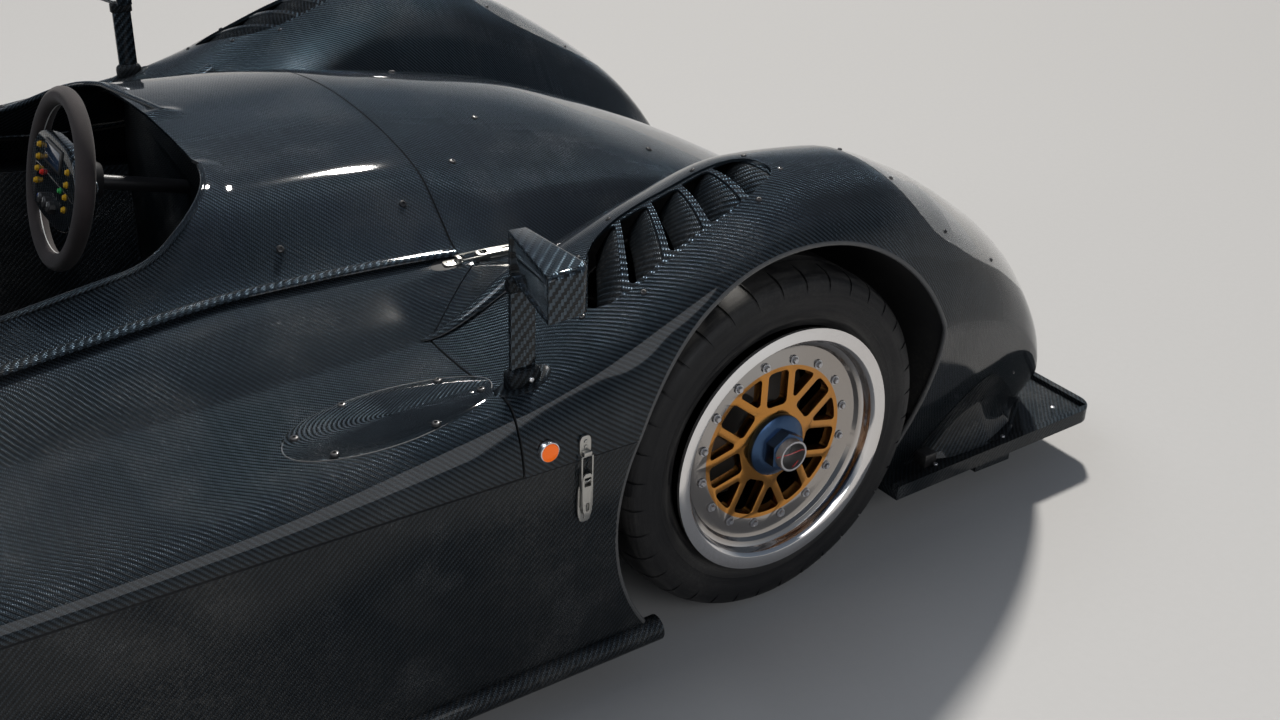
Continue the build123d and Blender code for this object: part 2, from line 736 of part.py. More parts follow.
def tyre(axle_x, radius, width, flange_radius, rim_width):
    """Tyre of a left wheel, a ring of flat facets with square shoulders seated on the rim."""
    middle_y = wheel_face_y - rim_width / 2
    seat_radius = flange_radius - 17
    facet_reach = 1 / cos(pi / tyre_facets)
    stations = [
        (middle_y - rim_width / 2 + 12, seat_radius + 2),
        (middle_y - width / 2 - 8, (radius + seat_radius) / 2),
        (middle_y - width / 2 + 4, radius - 20),
        (middle_y - width / 2 + 22, radius),
        (middle_y + width / 2 - 22, radius),
        (middle_y + width / 2 - 4, radius - 20),
        (middle_y + width / 2 + 8, (radius + seat_radius) / 2),
        (middle_y + rim_width / 2 - 12, seat_radius + 2),
    ]
    sections = []
    for y, ring_radius in stations:
        with BuildSketch(Plane(origin=(axle_x, y, radius), x_dir=(1, 0, 0), z_dir=(0, 1, 0))) as ring:
            RegularPolygon(ring_radius, tyre_facets, rotation=90 + 180 / tyre_facets)
        sections.append(ring.sketch.face())
    with BuildPart() as cover:
        loft(sections, ruled=True)
        with BuildSketch(Plane(origin=(axle_x, stations[0][0], radius), x_dir=(1, 0, 0), z_dir=(0, 1, 0))):
            RegularPolygon(seat_radius * facet_reach, tyre_facets, rotation=90 + 180 / tyre_facets)
        extrude(amount=stations[-1][0] - stations[0][0], mode=Mode.SUBTRACT)
    return cover.part


lip_width = 11.0
ring_inset = 52.0
ring_width = 24.0
wide_window_width = 40.0
wide_window_start = 66.0
window_edge = 5.0
window_corner_radius = 8.0
fork_corner_radius = 5.0


def mesh_window(centre_plane, outline, outer_radius, corner_radius):
    """One window of the mesh centre, an outline closed by the ring's arc, with rounded corners."""
    with BuildSketch(centre_plane) as window:
        with BuildLine():
            Polyline(*outline, close=True)
        make_face()
        Circle(outer_radius, mode=Mode.INTERSECT)
        fillet(window.vertices(), corner_radius)
    return window.sketch.face()


def mesh_centre(centre_plane, mesh_radius):
    """Forked spokes round a hub plate: wide windows between the forks, narrow ones inside each fork."""
    outer_radius = mesh_radius - window_edge
    beyond_radius = mesh_radius + window_edge
    half_width = wide_window_width / 2
    half_turn = pi / spoke_count
    fork_start = (half_width + spoke_arm_width) / sin(half_turn)
    fork_half_width = (beyond_radius - fork_start) * tan(half_turn)
    wide_outline = [
        (wide_window_start, -half_width),
        (beyond_radius, -half_width),
        (beyond_radius, half_width),
        (wide_window_start, half_width),
    ]
    fork_outline = [(fork_start, 0), (beyond_radius, -fork_half_width), (beyond_radius, fork_half_width)]
    wide = mesh_window(centre_plane, wide_outline, outer_radius, window_corner_radius)
    fork = mesh_window(centre_plane, fork_outline, outer_radius, fork_corner_radius)
    axis = Axis(centre_plane.origin, centre_plane.z_dir)
    with BuildPart() as centre:
        with BuildSketch(centre_plane):
            Circle(mesh_radius)
            Circle(hub_radius + running_gap, mode=Mode.SUBTRACT)
        extrude(amount=rim_centre_thickness)
        for spoke in range(spoke_count):
            turn = 360 * spoke / spoke_count
            for window, start in ((wide, 0), (fork, 180 / spoke_count)):
                turned = window.rotate(axis, turn + start)
                cut = extrude(turned, amount=rim_centre_thickness, mode=Mode.PRIVATE)
                add(cut, mode=Mode.SUBTRACT)
    return centre.part


def rim(axle_x, axle_z, flange_radius, rim_width):
    """Three-piece rim of a left wheel: stepped barrel, bolt ring and a mesh centre of forked spokes."""
    seat_radius = flange_radius - 17 - running_gap
    barrel_radius = seat_radius - rim_wall
    inner_y = wheel_face_y - rim_width
    centre_face_y = wheel_face_y - rim_centre_recess
    centre_back_y = centre_face_y - rim_centre_thickness
    ring_radius = flange_radius - ring_inset
    mesh_radius = ring_radius - ring_width
    with BuildPart() as wheel:
        with BuildSketch(Plane(origin=(axle_x, 0, axle_z), x_dir=(0, 1, 0), z_dir=(1, 0, 0))):
            with BuildLine():
                Polyline(
                    (inner_y, flange_radius),
                    (inner_y + rim_wall, flange_radius),
                    (inner_y + rim_wall, seat_radius),
                    (wheel_face_y - rim_wall, seat_radius),
                    (wheel_face_y - rim_wall, flange_radius),
                    (wheel_face_y, flange_radius),
                    (wheel_face_y, flange_radius - lip_width),
                    (wheel_face_y - 1, barrel_radius + 3),
                    (wheel_face_y - rim_wall, barrel_radius - 2),
                    (centre_face_y + 12, barrel_radius - 5),
                    (centre_face_y + 9, barrel_radius - 13),
                    (centre_face_y + 2, barrel_radius - 17),
                    (centre_face_y, ring_radius),
                    (centre_face_y, mesh_radius),
                    (centre_back_y, mesh_radius),
                    (centre_back_y, barrel_radius),
                    (inner_y, barrel_radius),
                    close=True,
                )
            make_face()
        revolve(axis=Axis((axle_x, 0, axle_z), (0, 1, 0)))
        add(mesh_centre(Plane(origin=(axle_x, centre_back_y, axle_z), z_dir=(0, 1, 0)), mesh_radius))
    return wheel.part


def hub(axle_x, axle_z):
    """Hub of a left wheel: brake disc, drive flange, domed centre-lock nut and the spindle's sleeve."""
    centre_face_y = wheel_face_y - rim_centre_recess
    centre_back_y = centre_face_y - rim_centre_thickness
    bore_radius = spindle_radius + running_gap
    with BuildPart() as drum:
        with BuildSketch(Plane(origin=(axle_x, 0, axle_z), x_dir=(0, 1, 0), z_dir=(1, 0, 0))):
            with BuildLine():
                Polyline(
                    (disc_y, bore_radius),
                    (disc_y, disc_radius),
                    (disc_y + disc_thickness, disc_radius),
                    (disc_y + disc_thickness, hub_radius),
                    (centre_back_y - 12, hub_radius),
                    (centre_back_y - 12, hub_radius + 20),
                    (centre_back_y, hub_radius + 20),
                    (centre_back_y, hub_radius),
                    (centre_face_y, hub_radius),
                    (centre_face_y, centre_nut_radius),
                    (centre_face_y + 10, centre_nut_radius),
                    (centre_face_y + 16, centre_hex_radius + 4),
                    (centre_face_y + 16, spindle_radius + 4),
                    (centre_face_y + 50, spindle_radius + 4),
                    (centre_face_y + 50, bore_radius),
                    close=True,
                )
            make_face()
        revolve(axis=Axis((axle_x, 0, axle_z), (0, 1, 0)))
        with BuildSketch(Plane(origin=(axle_x, centre_face_y + 16, axle_z), z_dir=(0, 1, 0))):
            RegularPolygon(centre_hex_radius, 6)
            Circle(spindle_radius + 2, mode=Mode.SUBTRACT)
        extrude(amount=20)
    return drum.part


corners = {
    "front": (front_axle_x, front_tyre_radius, front_tyre_width, front_flange_radius, front_rim_width),
    "rear": (rear_axle_x, rear_tyre_radius, rear_tyre_width, rear_flange_radius, rear_rim_width),
}
for corner, (axle_x, tyre_radius, tyre_width, flange_radius, rim_width) in corners.items():
    save_pair(tyre(axle_x, tyre_radius, tyre_width, flange_radius, rim_width), f"{corner}_tyre")
    save_pair(rim(axle_x, tyre_radius, flange_radius, rim_width), f"{corner}_rim")
    save_pair(hub(axle_x, tyre_radius), f"{corner}_hub")

# Engine and gearbox behind the tub, plain blocks at their real place and size.
engine_front_x = tub_rear_x - running_gap
engine_rear_x = -930.0
gearbox_rear_x = -1480.0
with BuildPart() as engine_block:
    with BuildSketch(Plane.YZ.offset(engine_rear_x)):
        with BuildLine():
            Polyline(
                (-180, floor_top_z),
                (-230, 330),
                (-215, 560),
                (215, 560),
                (230, 330),
                (180, floor_top_z),
                close=True,
            )
        make_face()
    extrude(amount=engine_front_x - engine_rear_x)
save(engine_block.part, "engine_block")

with BuildPart() as gearbox:
    with BuildSketch(Plane.YZ.offset(gearbox_rear_x)):
        with BuildLine():
            Polyline(
                (-150, floor_top_z + 40),
                (-gearbox_half_width, 150),
                (-gearbox_half_width, 430),
                (gearbox_half_width, 430),
                (gearbox_half_width, 150),
                (150, floor_top_z + 40),
                close=True,
            )
        make_face()
    extrude(amount=engine_rear_x - gearbox_rear_x)
save(gearbox.part, "gearbox")

# Diffuser that rises behind the floor between the rear wheels, with upright strakes.
diffuser_rear_x = -2000.0
diffuser_rear_z = 215.0
diffuser_thickness = 10.0
diffuser_half_width = 465.0
strake_thickness = 6.0
strake_ys = (-460.0, -230.0, 0.0, 230.0, 460.0)
with BuildPart() as rear_diffuser:
    with BuildSketch(Plane.XZ.offset(-diffuser_half_width)):
        with BuildLine():
            Polyline(
                (floor_rear_x, floor_bottom_z),
                (floor_rear_x, floor_bottom_z + diffuser_thickness),
                (diffuser_rear_x, diffuser_rear_z + diffuser_thickness),
                (diffuser_rear_x, diffuser_rear_z),
                close=True,
            )
        make_face()
    extrude(amount=2 * diffuser_half_width)
    for strake_y in strake_ys:
        with BuildSketch(Plane.XZ.offset(-strake_y - strake_thickness / 2)):
            with BuildLine():
                Polyline(
                    (floor_rear_x, floor_bottom_z),
                    (diffuser_rear_x, diffuser_rear_z + diffuser_thickness / 2),
                    (diffuser_rear_x, floor_bottom_z + 20),
                    close=True,
                )
            make_face()
        extrude(amount=strake_thickness)
save(rear_diffuser.part, "rear_diffuser")

# Roll hoop over the driver's head, with legs down to the tub.
hoop_radius = 19.0
hoop_top_z = 1040.0
hoop_x = cockpit_rear_x + hoop_radius + running_gap
hoop_foot_y = 372.0
hoop_half_width = 150.0
with BuildPart() as roll_hoop:
    with BuildLine():
        FilletPolyline(
            (hoop_x, -hoop_foot_y, tub_top_z),
            (hoop_x, -hoop_foot_y, tub_top_z + 130),
            (hoop_x, -hoop_half_width, hoop_top_z - hoop_radius),
            (hoop_x, hoop_half_width, hoop_top_z - hoop_radius),
            (hoop_x, hoop_foot_y, tub_top_z + 130),
            (hoop_x, hoop_foot_y, tub_top_z),
            radius=90,
        )
    with BuildSketch(Plane(origin=(hoop_x, -hoop_foot_y, tub_top_z), z_dir=(0, 0, 1))):
        Circle(hoop_radius)
    sweep()
save(roll_hoop.part, "roll_hoop")

# Rear wing: two elements between end plates, on two pylons from the gearbox.
wing_half_span = 800.0
wing_x = -1735.0
car_rear_x = -2040.0
wing_z = 905.0
wing_chord = 250.0
flap_chord = 110.0
end_plate_thickness = 8.0


def wing_element(front_x, front_z, chord, rise):
    """One wing element, a section with a round nose and a thin tail, tilted tail up."""
    with BuildPart() as element:
        with BuildSketch(Plane.XZ.offset(-wing_half_span)):
            with BuildLine():
                ThreePointArc(
                    (front_x - 0.1 * chord, front_z + 0.09 * chord),
                    (front_x, front_z),
                    (front_x - 0.12 * chord, front_z - 0.06 * chord),
                )
                Line(
                    (front_x - 0.12 * chord, front_z - 0.06 * chord),
                    (front_x - chord, front_z + rise),
                )
                Line(
                    (front_x - chord, front_z + rise),
                    (front_x - chord, front_z + rise + 4),
                )
                Line(
                    (front_x - chord, front_z + rise + 4),
                    (front_x - 0.1 * chord, front_z + 0.09 * chord),
                )
            make_face()
        extrude(amount=2 * wing_half_span)
    return element.part


with BuildPart() as rear_wing:
    add(wing_element(wing_x + 40, wing_z, wing_chord, 25))
    add(wing_element(wing_x - wing_chord + 60, wing_z + 50, flap_chord, 45))
save(rear_wing.part, "rear_wing")

with BuildPart() as wing_end_plates:
    with BuildSketch(Plane.XZ.offset(-wing_half_span - end_plate_thickness)):
        with BuildLine():
            Polyline(
                (wing_x + 80, wing_z - 130),
                (wing_x + 70, wing_z + 60),
                (car_rear_x, wing_z + 120),
                (car_rear_x, wing_z - 90),
                close=True,
            )
        make_face()
    extrude(amount=end_plate_thickness)
    mirror(about=Plane.XZ)
save(wing_end_plates.part, "wing_end_plates")

# Pylons stand on the tail's deck and carry the wing's main element.
pylon_y = 250.0
pylon_thickness = 8.0
with BuildPart() as wing_pylons:
    with BuildSketch(Plane.XZ.offset(-pylon_y - pylon_thickness / 2)):
        with BuildLine():
            Polyline(
                (wing_x + 60, 560),
                (wing_x - 10, wing_z + 12),
                (wing_x - 170, wing_z + 12),
                (wing_x - 150, 560),
                close=True,
            )
        make_face()
    extrude(amount=pylon_thickness)
    add(body_outside.part, mode=Mode.SUBTRACT)
    add(rear_wing.part, mode=Mode.SUBTRACT)
    wing_top_scrap = wing_pylons.solids().sort_by(Axis.Z)[1:]
    for scrap in wing_top_scrap:
        add(scrap, mode=Mode.SUBTRACT)
    mirror(about=Plane.XZ)
save(wing_pylons.part, "wing_pylons")

# Bulkhead between the cockpit and the engine cover, shaped like the cover's mouth, with an air intake.
air_mouth_width = 240.0
air_mouth_height = 48.0
with BuildPart() as rear_bulkhead:
    with BuildSketch(Plane.YZ.offset(cover_front_x)):
        mouth_centre, mouth_hump, mouth_valley = station_points(tail_stations[0])[:3]
        bulkhead_side_y = mouth_valley[0] - 10
        hump_fall = (mouth_hump[1] - mouth_valley[1]) / (mouth_valley[0] - mouth_hump[0])
        bulkhead_side_z = mouth_valley[1] + 10 * hump_fall
        with BuildLine():
            TangentArc(mouth_centre, mouth_hump, tangent=(1, 0))
            Line(mouth_hump, (bulkhead_side_y, bulkhead_side_z))
            Line((bulkhead_side_y, bulkhead_side_z), (bulkhead_side_y, tub_top_z))
            Line((bulkhead_side_y, tub_top_z), (0, tub_top_z))
            Line((0, tub_top_z), mouth_centre)
        make_face()
        with Locations((0, mouth_centre[1] - 60)):
            RectangleRounded(air_mouth_width, air_mouth_height, air_mouth_height / 2 - 1, mode=Mode.SUBTRACT)
    extrude(amount=cockpit_rear_x - cover_front_x)
    mirror(about=Plane.XZ)
save(rear_bulkhead.part, "rear_bulkhead")

# Head pad on the bulkhead.
with BuildPart() as head_pad:
    with Locations((cockpit_rear_x + running_gap + 30, 0, 735)):
        Box(60, 230, 190)
    fillet(head_pad.edges().filter_by(Axis.X), 30)
save(head_pad.part, "head_pad")

# Mirrors on flat blade stems: a wedge shell, deep outside and thin inside, with the glass in its rear face.
mirror_stem_x = 719.0
mirror_stem_y = body_half_width - 69
mirror_stem_width = 38.0
mirror_stem_thickness = 8.0
mirror_bottom_z = 684.0
mirror_top_z = 747.0
mirror_glass_depth = 4.0
mirror_frame = 6.0
# Plan corners of the shell from the stem: inner rear, inner front, outer front, outer rear.
mirror_corners = [(-10, -17), (21, -14), (24, 131), (-46, 139)]
mirror_plan = [(mirror_stem_x + x, mirror_stem_y + y) for x, y in mirror_corners]
mirror_rear = Vector(*mirror_plan[3]) - Vector(*mirror_plan[0])
mirror_along = mirror_rear.normalized()
mirror_inward = Vector(mirror_along.Y, -mirror_along.X)
glass_start = Vector(*mirror_plan[0]) + mirror_along * mirror_frame
glass_end = Vector(*mirror_plan[3]) - mirror_along * mirror_frame
glass_plan = [
    (corner.X, corner.Y)
    for corner in (
        glass_start - mirror_inward,
        glass_start + mirror_inward * mirror_glass_depth,
        glass_end + mirror_inward * mirror_glass_depth,
        glass_end - mirror_inward,
    )
]
with BuildPart() as mirror_assembly:
    add(prism(mirror_plan, mirror_bottom_z, mirror_top_z))
    outer_front_edge = mirror_assembly.edges().filter_by(Axis.Z).sort_by(Axis.X)[-1]
    fillet(outer_front_edge, 22)
    top_front_edges = mirror_assembly.faces().sort_by(Axis.Z)[-1].edges().sort_by(Axis.X)[-2:]
    fillet(top_front_edges, 9)
    add(prism(glass_plan, mirror_bottom_z + mirror_frame, mirror_top_z - mirror_frame), mode=Mode.SUBTRACT)
    with Locations((mirror_stem_x, mirror_stem_y, mirror_bottom_z)):
        Box(
            mirror_stem_width, mirror_stem_thickness, mirror_bottom_z - panel_seam_z,
            align=(Align.CENTER, Align.CENTER, Align.MAX),
        )
    add(body_outside.part, mode=Mode.SUBTRACT)
save_pair(mirror_assembly.part, "mirror")

# Lamp plates inside the shell with two round lamps each, behind the clear covers.
lamp_plate_x = 1536.0
lamp_plate_thickness = 5.0
with BuildPart() as headlamps:
    with Locations((lamp_plate_x + lamp_plate_thickness / 2, 690, 515)):
        Box(lamp_plate_thickness, 290, 260)
    add(body_inside.part, mode=Mode.INTERSECT)
    for lamp_y, lamp_z, lamp_radius in ((655, 505, 46), (752, 478, 40)):
        lamp_face = Plane(origin=(lamp_plate_x + lamp_plate_thickness, lamp_y, lamp_z), z_dir=(1, 0, 0))
        with BuildSketch(lamp_face):
            Circle(lamp_radius)
        extrude(amount=70)
    mirror(about=Plane.XZ)
save(headlamps.part, "headlamps")

# Tail lamps, marker lamps, exhaust tail pipe and tow eyes.
with BuildPart() as tail_lamps:
    for lamp_y in (640, 740):
        with BuildSketch(Plane(origin=(tail_x, lamp_y, 490), z_dir=(-1, 0, 0))):
            Circle(36)
        extrude(amount=14)
    mirror(about=Plane.XZ)
save(tail_lamps.part, "tail_lamps")

marker_x = front_axle_x - 462.0
marker_radius = 13.0
marker_sides = 24
marker_proud = 4.0
marker_depth = 12.0
marker_rise = 28.0
with BuildPart() as marker_lamps:
    marker_face = (marker_x, body_half_width + marker_proud, panel_seam_z + marker_rise)
    with BuildSketch(Plane(origin=marker_face, z_dir=(0, -1, 0))):
        RegularPolygon(marker_radius, marker_sides)
    extrude(amount=marker_depth)
    add(body_outside.part, mode=Mode.SUBTRACT)
    mirror(about=Plane.XZ)
save(marker_lamps.part, "marker_lamps")

exhaust_wall = 3.0
exhaust_overhang = 18.0
with BuildPart() as exhaust:
    with BuildSketch(Plane(origin=(gearbox_rear_x, 0, exhaust_z), z_dir=(-1, 0, 0))):
        Circle(exhaust_radius)
        Circle(exhaust_radius - exhaust_wall, mode=Mode.SUBTRACT)
    extrude(amount=gearbox_rear_x - tail_x + exhaust_overhang)
save(exhaust.part, "exhaust")

# Tow eyes in front of the nose and behind the tail.
tow_eye_radius = 38.0
tow_bore_radius = 30.0
tow_eye_thickness = 10.0
with BuildPart() as tow_eyes:
    for face_x, eye_x, eye_z in ((nose_x, nose_x + tow_eye_radius, 140), (tail_x, tail_x - tow_eye_radius, 300)):
        with BuildSketch(Plane.XZ.offset(-tow_eye_thickness / 2)):
            with Locations((eye_x, eye_z)):
                Circle(tow_eye_radius)
            with Locations(((face_x + eye_x) / 2, eye_z)):
                Rectangle(abs(eye_x - face_x), 2 * tow_eye_radius)
            with Locations((eye_x, eye_z)):
                Circle(tow_bore_radius, mode=Mode.SUBTRACT)
        extrude(amount=tow_eye_thickness)
save(tow_eyes.part, "tow_eyes")
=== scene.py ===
"""Looks of a sports prototype race car in bare carbon fibre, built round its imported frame."""

from math import atan2, cos, hypot, pi, radians, sin

import bpy
import numpy as np
from bpy.props import FloatProperty, FloatVectorProperty, PointerProperty
from mathutils import Matrix, Vector


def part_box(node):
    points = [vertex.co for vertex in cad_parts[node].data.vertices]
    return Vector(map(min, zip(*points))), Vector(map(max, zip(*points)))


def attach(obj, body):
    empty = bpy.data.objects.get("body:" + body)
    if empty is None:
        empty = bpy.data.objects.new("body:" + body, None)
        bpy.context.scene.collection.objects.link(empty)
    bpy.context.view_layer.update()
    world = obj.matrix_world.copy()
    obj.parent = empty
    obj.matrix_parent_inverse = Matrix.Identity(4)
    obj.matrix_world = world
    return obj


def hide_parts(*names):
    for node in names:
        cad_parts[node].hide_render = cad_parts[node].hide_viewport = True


bl_info = {
    "name": "Sports prototype race car",
    "version": (1, 0, 0),
    "blender": (4, 5, 0),
    "location": "3D View > Sidebar > Race Car",
    "description": "Dresses the frame of an open sports prototype race car",
    "category": "Object",
}

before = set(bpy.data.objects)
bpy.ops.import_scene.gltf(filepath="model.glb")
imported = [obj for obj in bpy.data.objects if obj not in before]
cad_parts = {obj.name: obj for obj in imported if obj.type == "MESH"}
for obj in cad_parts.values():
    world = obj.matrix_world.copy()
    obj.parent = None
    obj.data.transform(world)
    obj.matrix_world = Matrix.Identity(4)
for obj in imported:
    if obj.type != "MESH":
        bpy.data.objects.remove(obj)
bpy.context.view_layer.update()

MM = 0.001
CHASSIS = "chassis"
SIDES = (("left", 1), ("right", -1))
AHEAD = (1, 0, 0)
ACROSS = (0, 1, 0)
UP = (0, 0, 1)

# Running gear, from the frame
FRONT_AXLE = (1.180, 0.293)
REAR_AXLE = (-1.220, 0.313)
WHEEL_FACE_Y = 0.850
FRONT_ARCH_RADIUS = 0.345
REAR_ARCH_RADIUS = 0.362

# Body stations in millimetres, one half, front to back. Columns: X from its axle, height on the centre
# line, Y and Z of the hump's shoulder and of the valley, then the fender's inner edge, crest, outer
# shoulder and side edge as insets from the body's side with their Z, and the inset of the bottom.
BODY_HALF_WIDTH = 893
BODY_BOTTOM_Z = 95
NOSE_STATIONS = [
    (782, 185, 220, 176, 340, 165, 393, 150, 333, 146, 271, 130, 250, 115, 262),
    (758, 232, 225, 218, 345, 200, 393, 220, 303, 240, 225, 206, 186, 150, 215),
    (725, 280, 230, 262, 355, 228, 393, 278, 281, 322, 191, 276, 154, 200, 196),
    (660, 338, 240, 314, 370, 262, 388, 345, 265, 416, 161, 360, 118, 270, 182),
    (575, 398, 252, 368, 385, 300, 385, 412, 251, 494, 131, 440, 86, 340, 170),
    (460, 462, 268, 428, 402, 345, 383, 482, 239, 574, 103, 522, 55, 400, 155),
    (320, 530, 288, 492, 418, 395, 385, 548, 229, 654, 81, 602, 31, 432, 133),
    (180, 588, 305, 546, 428, 435, 390, 592, 229, 706, 65, 654, 13, 432, 90),
    (30, 640, 332, 588, 436, 468, 391, 612, 235, 716, 51, 668, 3, 432, 18),
    (-120, 672, 356, 606, 446, 497, 385, 596, 243, 676, 43, 640, 0, 432, 17),
    (-250, 692, 366, 622, 456, 522, 367, 572, 245, 628, 41, 594, 0, 432, 17),
    (-353, 700, 330, 655, 447, 550, 353, 552, 241, 584, 43, 560, 0, 432, 17),
    (-500, 702, 330, 668, 434, 556, 333, 522, 233, 514, 41, 530, 0, 432, 17),
    (-680, 704, 338, 672, 424, 553, 323, 520, 221, 508, 45, 508, 0, 432, 17),
    (-900, 704, 392, 650, 470, 560, 308, 518, 208, 500, 51, 484, 0, 432, 17),
    (-1140, 704, 440, 628, 522, 562, 288, 520, 201, 500, 53, 470, 0, 432, 17),
    (-1516, 704, 452, 624, 566, 566, 253, 530, 178, 506, 53, 468, 0, 432, 17),
]
TAIL_STATIONS = [
    (862, 945, 190, 905, 566, 572, 243, 532, 173, 508, 53, 470, 0, 432, 17),
    (580, 935, 190, 892, 478, 596, 333, 564, 187, 560, 45, 532, 0, 432, 17),
    (370, 905, 188, 860, 446, 602, 358, 660, 199, 706, 39, 646, 0, 432, 17),
    (170, 872, 184, 828, 432, 600, 375, 712, 203, 782, 37, 716, 0, 432, 17),
    (0, 838, 180, 794, 422, 592, 379, 726, 203, 800, 37, 734, 0, 432, 17),
    (-230, 786, 172, 744, 410, 575, 381, 698, 205, 770, 39, 706, 2, 432, 18),
    (-480, 726, 160, 690, 400, 556, 387, 646, 207, 704, 49, 642, 8, 432, 20),
    (-740, 664, 150, 636, 390, 532, 393, 588, 213, 628, 65, 572, 23, 432, 35),
]
INSET_COLUMNS = (6, 8, 10, 12, 14)

# Seams of the body panels
NOSE_X = 1.962
TAIL_X = -1.960
TAIL_BOTTOM_Z = 0.262
NOSE_SEAM_X = 0.827
FRONT_JOINT_X = 0.680
REAR_JOINT_X = -0.640
COCKPIT_REAR_X = -0.336
COVER_FRONT_X = -0.358
PANEL_SEAM_Z = 0.432
TONGUE_Y = (0.449, 0.480, 0.619, 0.905)
TONGUE_X = (0.827, 0.840, 0.688, 0.680)
SEAM_TRIM = 0.0018
COCKPIT_CORNERS = [(0.535, 0.0), (0.500, 0.318), (0.373, 0.402), (0.150, 0.455), (-0.336, 0.478)]
COCKPIT_RADII = (0.170, 0.300, 0.300)
# The surround rises towards the opening's edge, over this distance and by this height.
RIM_BAND = 0.0384
RIM_RISE = 0.008
HEADLAMP_PLAN = [
    (1.375, 0.640), (1.400, 0.735), (1.455, 0.828), (1.600, 0.822), (1.765, 0.783),
    (1.850, 0.730), (1.866, 0.650), (1.760, 0.575), (1.500, 0.560),
]
# Corners of the louvre panel: inner front, outer front, outer rear, inner rear.
LOUVRE_PLAN = [(1.212, 0.640), (1.225, 0.770), (0.802, 0.822), (0.942, 0.618)]
LOUVRE_SLOTS = 5
LOUVRE_SIDE_SHARE = 0.12
LOUVRE_END_SHARE = 0.05
LOUVRE_BAR_SHARE = 0.03

# Samples of each stretch of a body section: roof, hump side, valley, fender, shoulder, flank.
STRETCHES = (14, 14, 8, 28, 14, 16)
_, VALLEY, INNER, SHOULDER, EDGE, BOTTOM = (int(n) for n in np.cumsum(STRETCHES))
CREST = (INNER + SHOULDER) // 2
# Cloth on a whole section: first column of each zone and the column that it is laid from.
WHOLE_ZONES = ((0, BOTTOM - CREST), (BOTTOM - VALLEY, BOTTOM), (BOTTOM + VALLEY, BOTTOM + CREST))
SMOOTH_PASSES = 8


class CarSizes(bpy.types.PropertyGroup):
    """Sizes that a user may change."""

    skin_wall: FloatProperty(
        name="Skin wall", description="Thickness of the body panels", default=0.005, unit="LENGTH"
    )
    tow_width: FloatProperty(
        name="Tow width", description="Width of one carbon tow", default=0.0021, unit="LENGTH"
    )
    groove_depth: FloatProperty(
        name="Groove depth", description="Depth of the tyre's shoulder grooves", default=0.0045, unit="LENGTH"
    )


class CarColours(bpy.types.PropertyGroup):
    """Colours that a user may change."""

    # The bright tows' colour: painted sheen on the tows of one direction of the weave.
    tow: FloatVectorProperty(
        name="Carbon tow", description="Colour of the bright tows",
        subtype="COLOR", default=(0.043, 0.060, 0.076),
    )
    gold: FloatVectorProperty(
        name="Wheel centre", description="Colour of the wheel centres",
        subtype="COLOR", default=(0.60, 0.26, 0.05),
    )
    floor: FloatVectorProperty(
        name="Floor", description="Colour of the floor", subtype="COLOR", default=(0.41, 0.405, 0.40),
    )


def rows_of(stations, axle_x):
    """Station table in metres, with absolute places in all columns."""
    table = np.array(stations, dtype=float)
    for column in INSET_COLUMNS:
        table[:, column] = BODY_HALF_WIDTH - table[:, column]
    table *= MM
    table[:, 0] += axle_x
    return table


STATIONS = np.vstack([rows_of(NOSE_STATIONS, FRONT_AXLE[0]), rows_of(TAIL_STATIONS, REAR_AXLE[0])])[::-1]


def through(places, values, x):
    """Smooth curve through the stations that never swings past them."""
    step = np.diff(places)
    slope = np.diff(values) / step
    tangent = np.zeros_like(values)
    tangent[0] = slope[0]
    tangent[-1] = slope[-1]
    before, after = slope[:-1], slope[1:]
    rising = before * after > 0
    heavy, light = 2 * step[1:] + step[:-1], step[1:] + 2 * step[:-1]
    safe_before, safe_after = np.where(rising, before, 1), np.where(rising, after, 1)
    mean = (heavy + light) / (heavy / safe_before + light / safe_after)
    tangent[1:-1] = np.where(rising, mean, 0)
    index = np.clip(np.searchsorted(places, x) - 1, 0, len(step) - 1)
    t = np.clip((x - places[index]) / step[index], 0, 1)
    h = step[index]
    return (
        values[index] * (1 + 2 * t) * (1 - t) ** 2
        + tangent[index] * h * t * (1 - t) ** 2
        + values[index + 1] * t**2 * (3 - 2 * t)
        + tangent[index + 1] * h * t**2 * (t - 1)
    )


def wrapped(angle):
    return (angle + pi) % (2 * pi) - pi


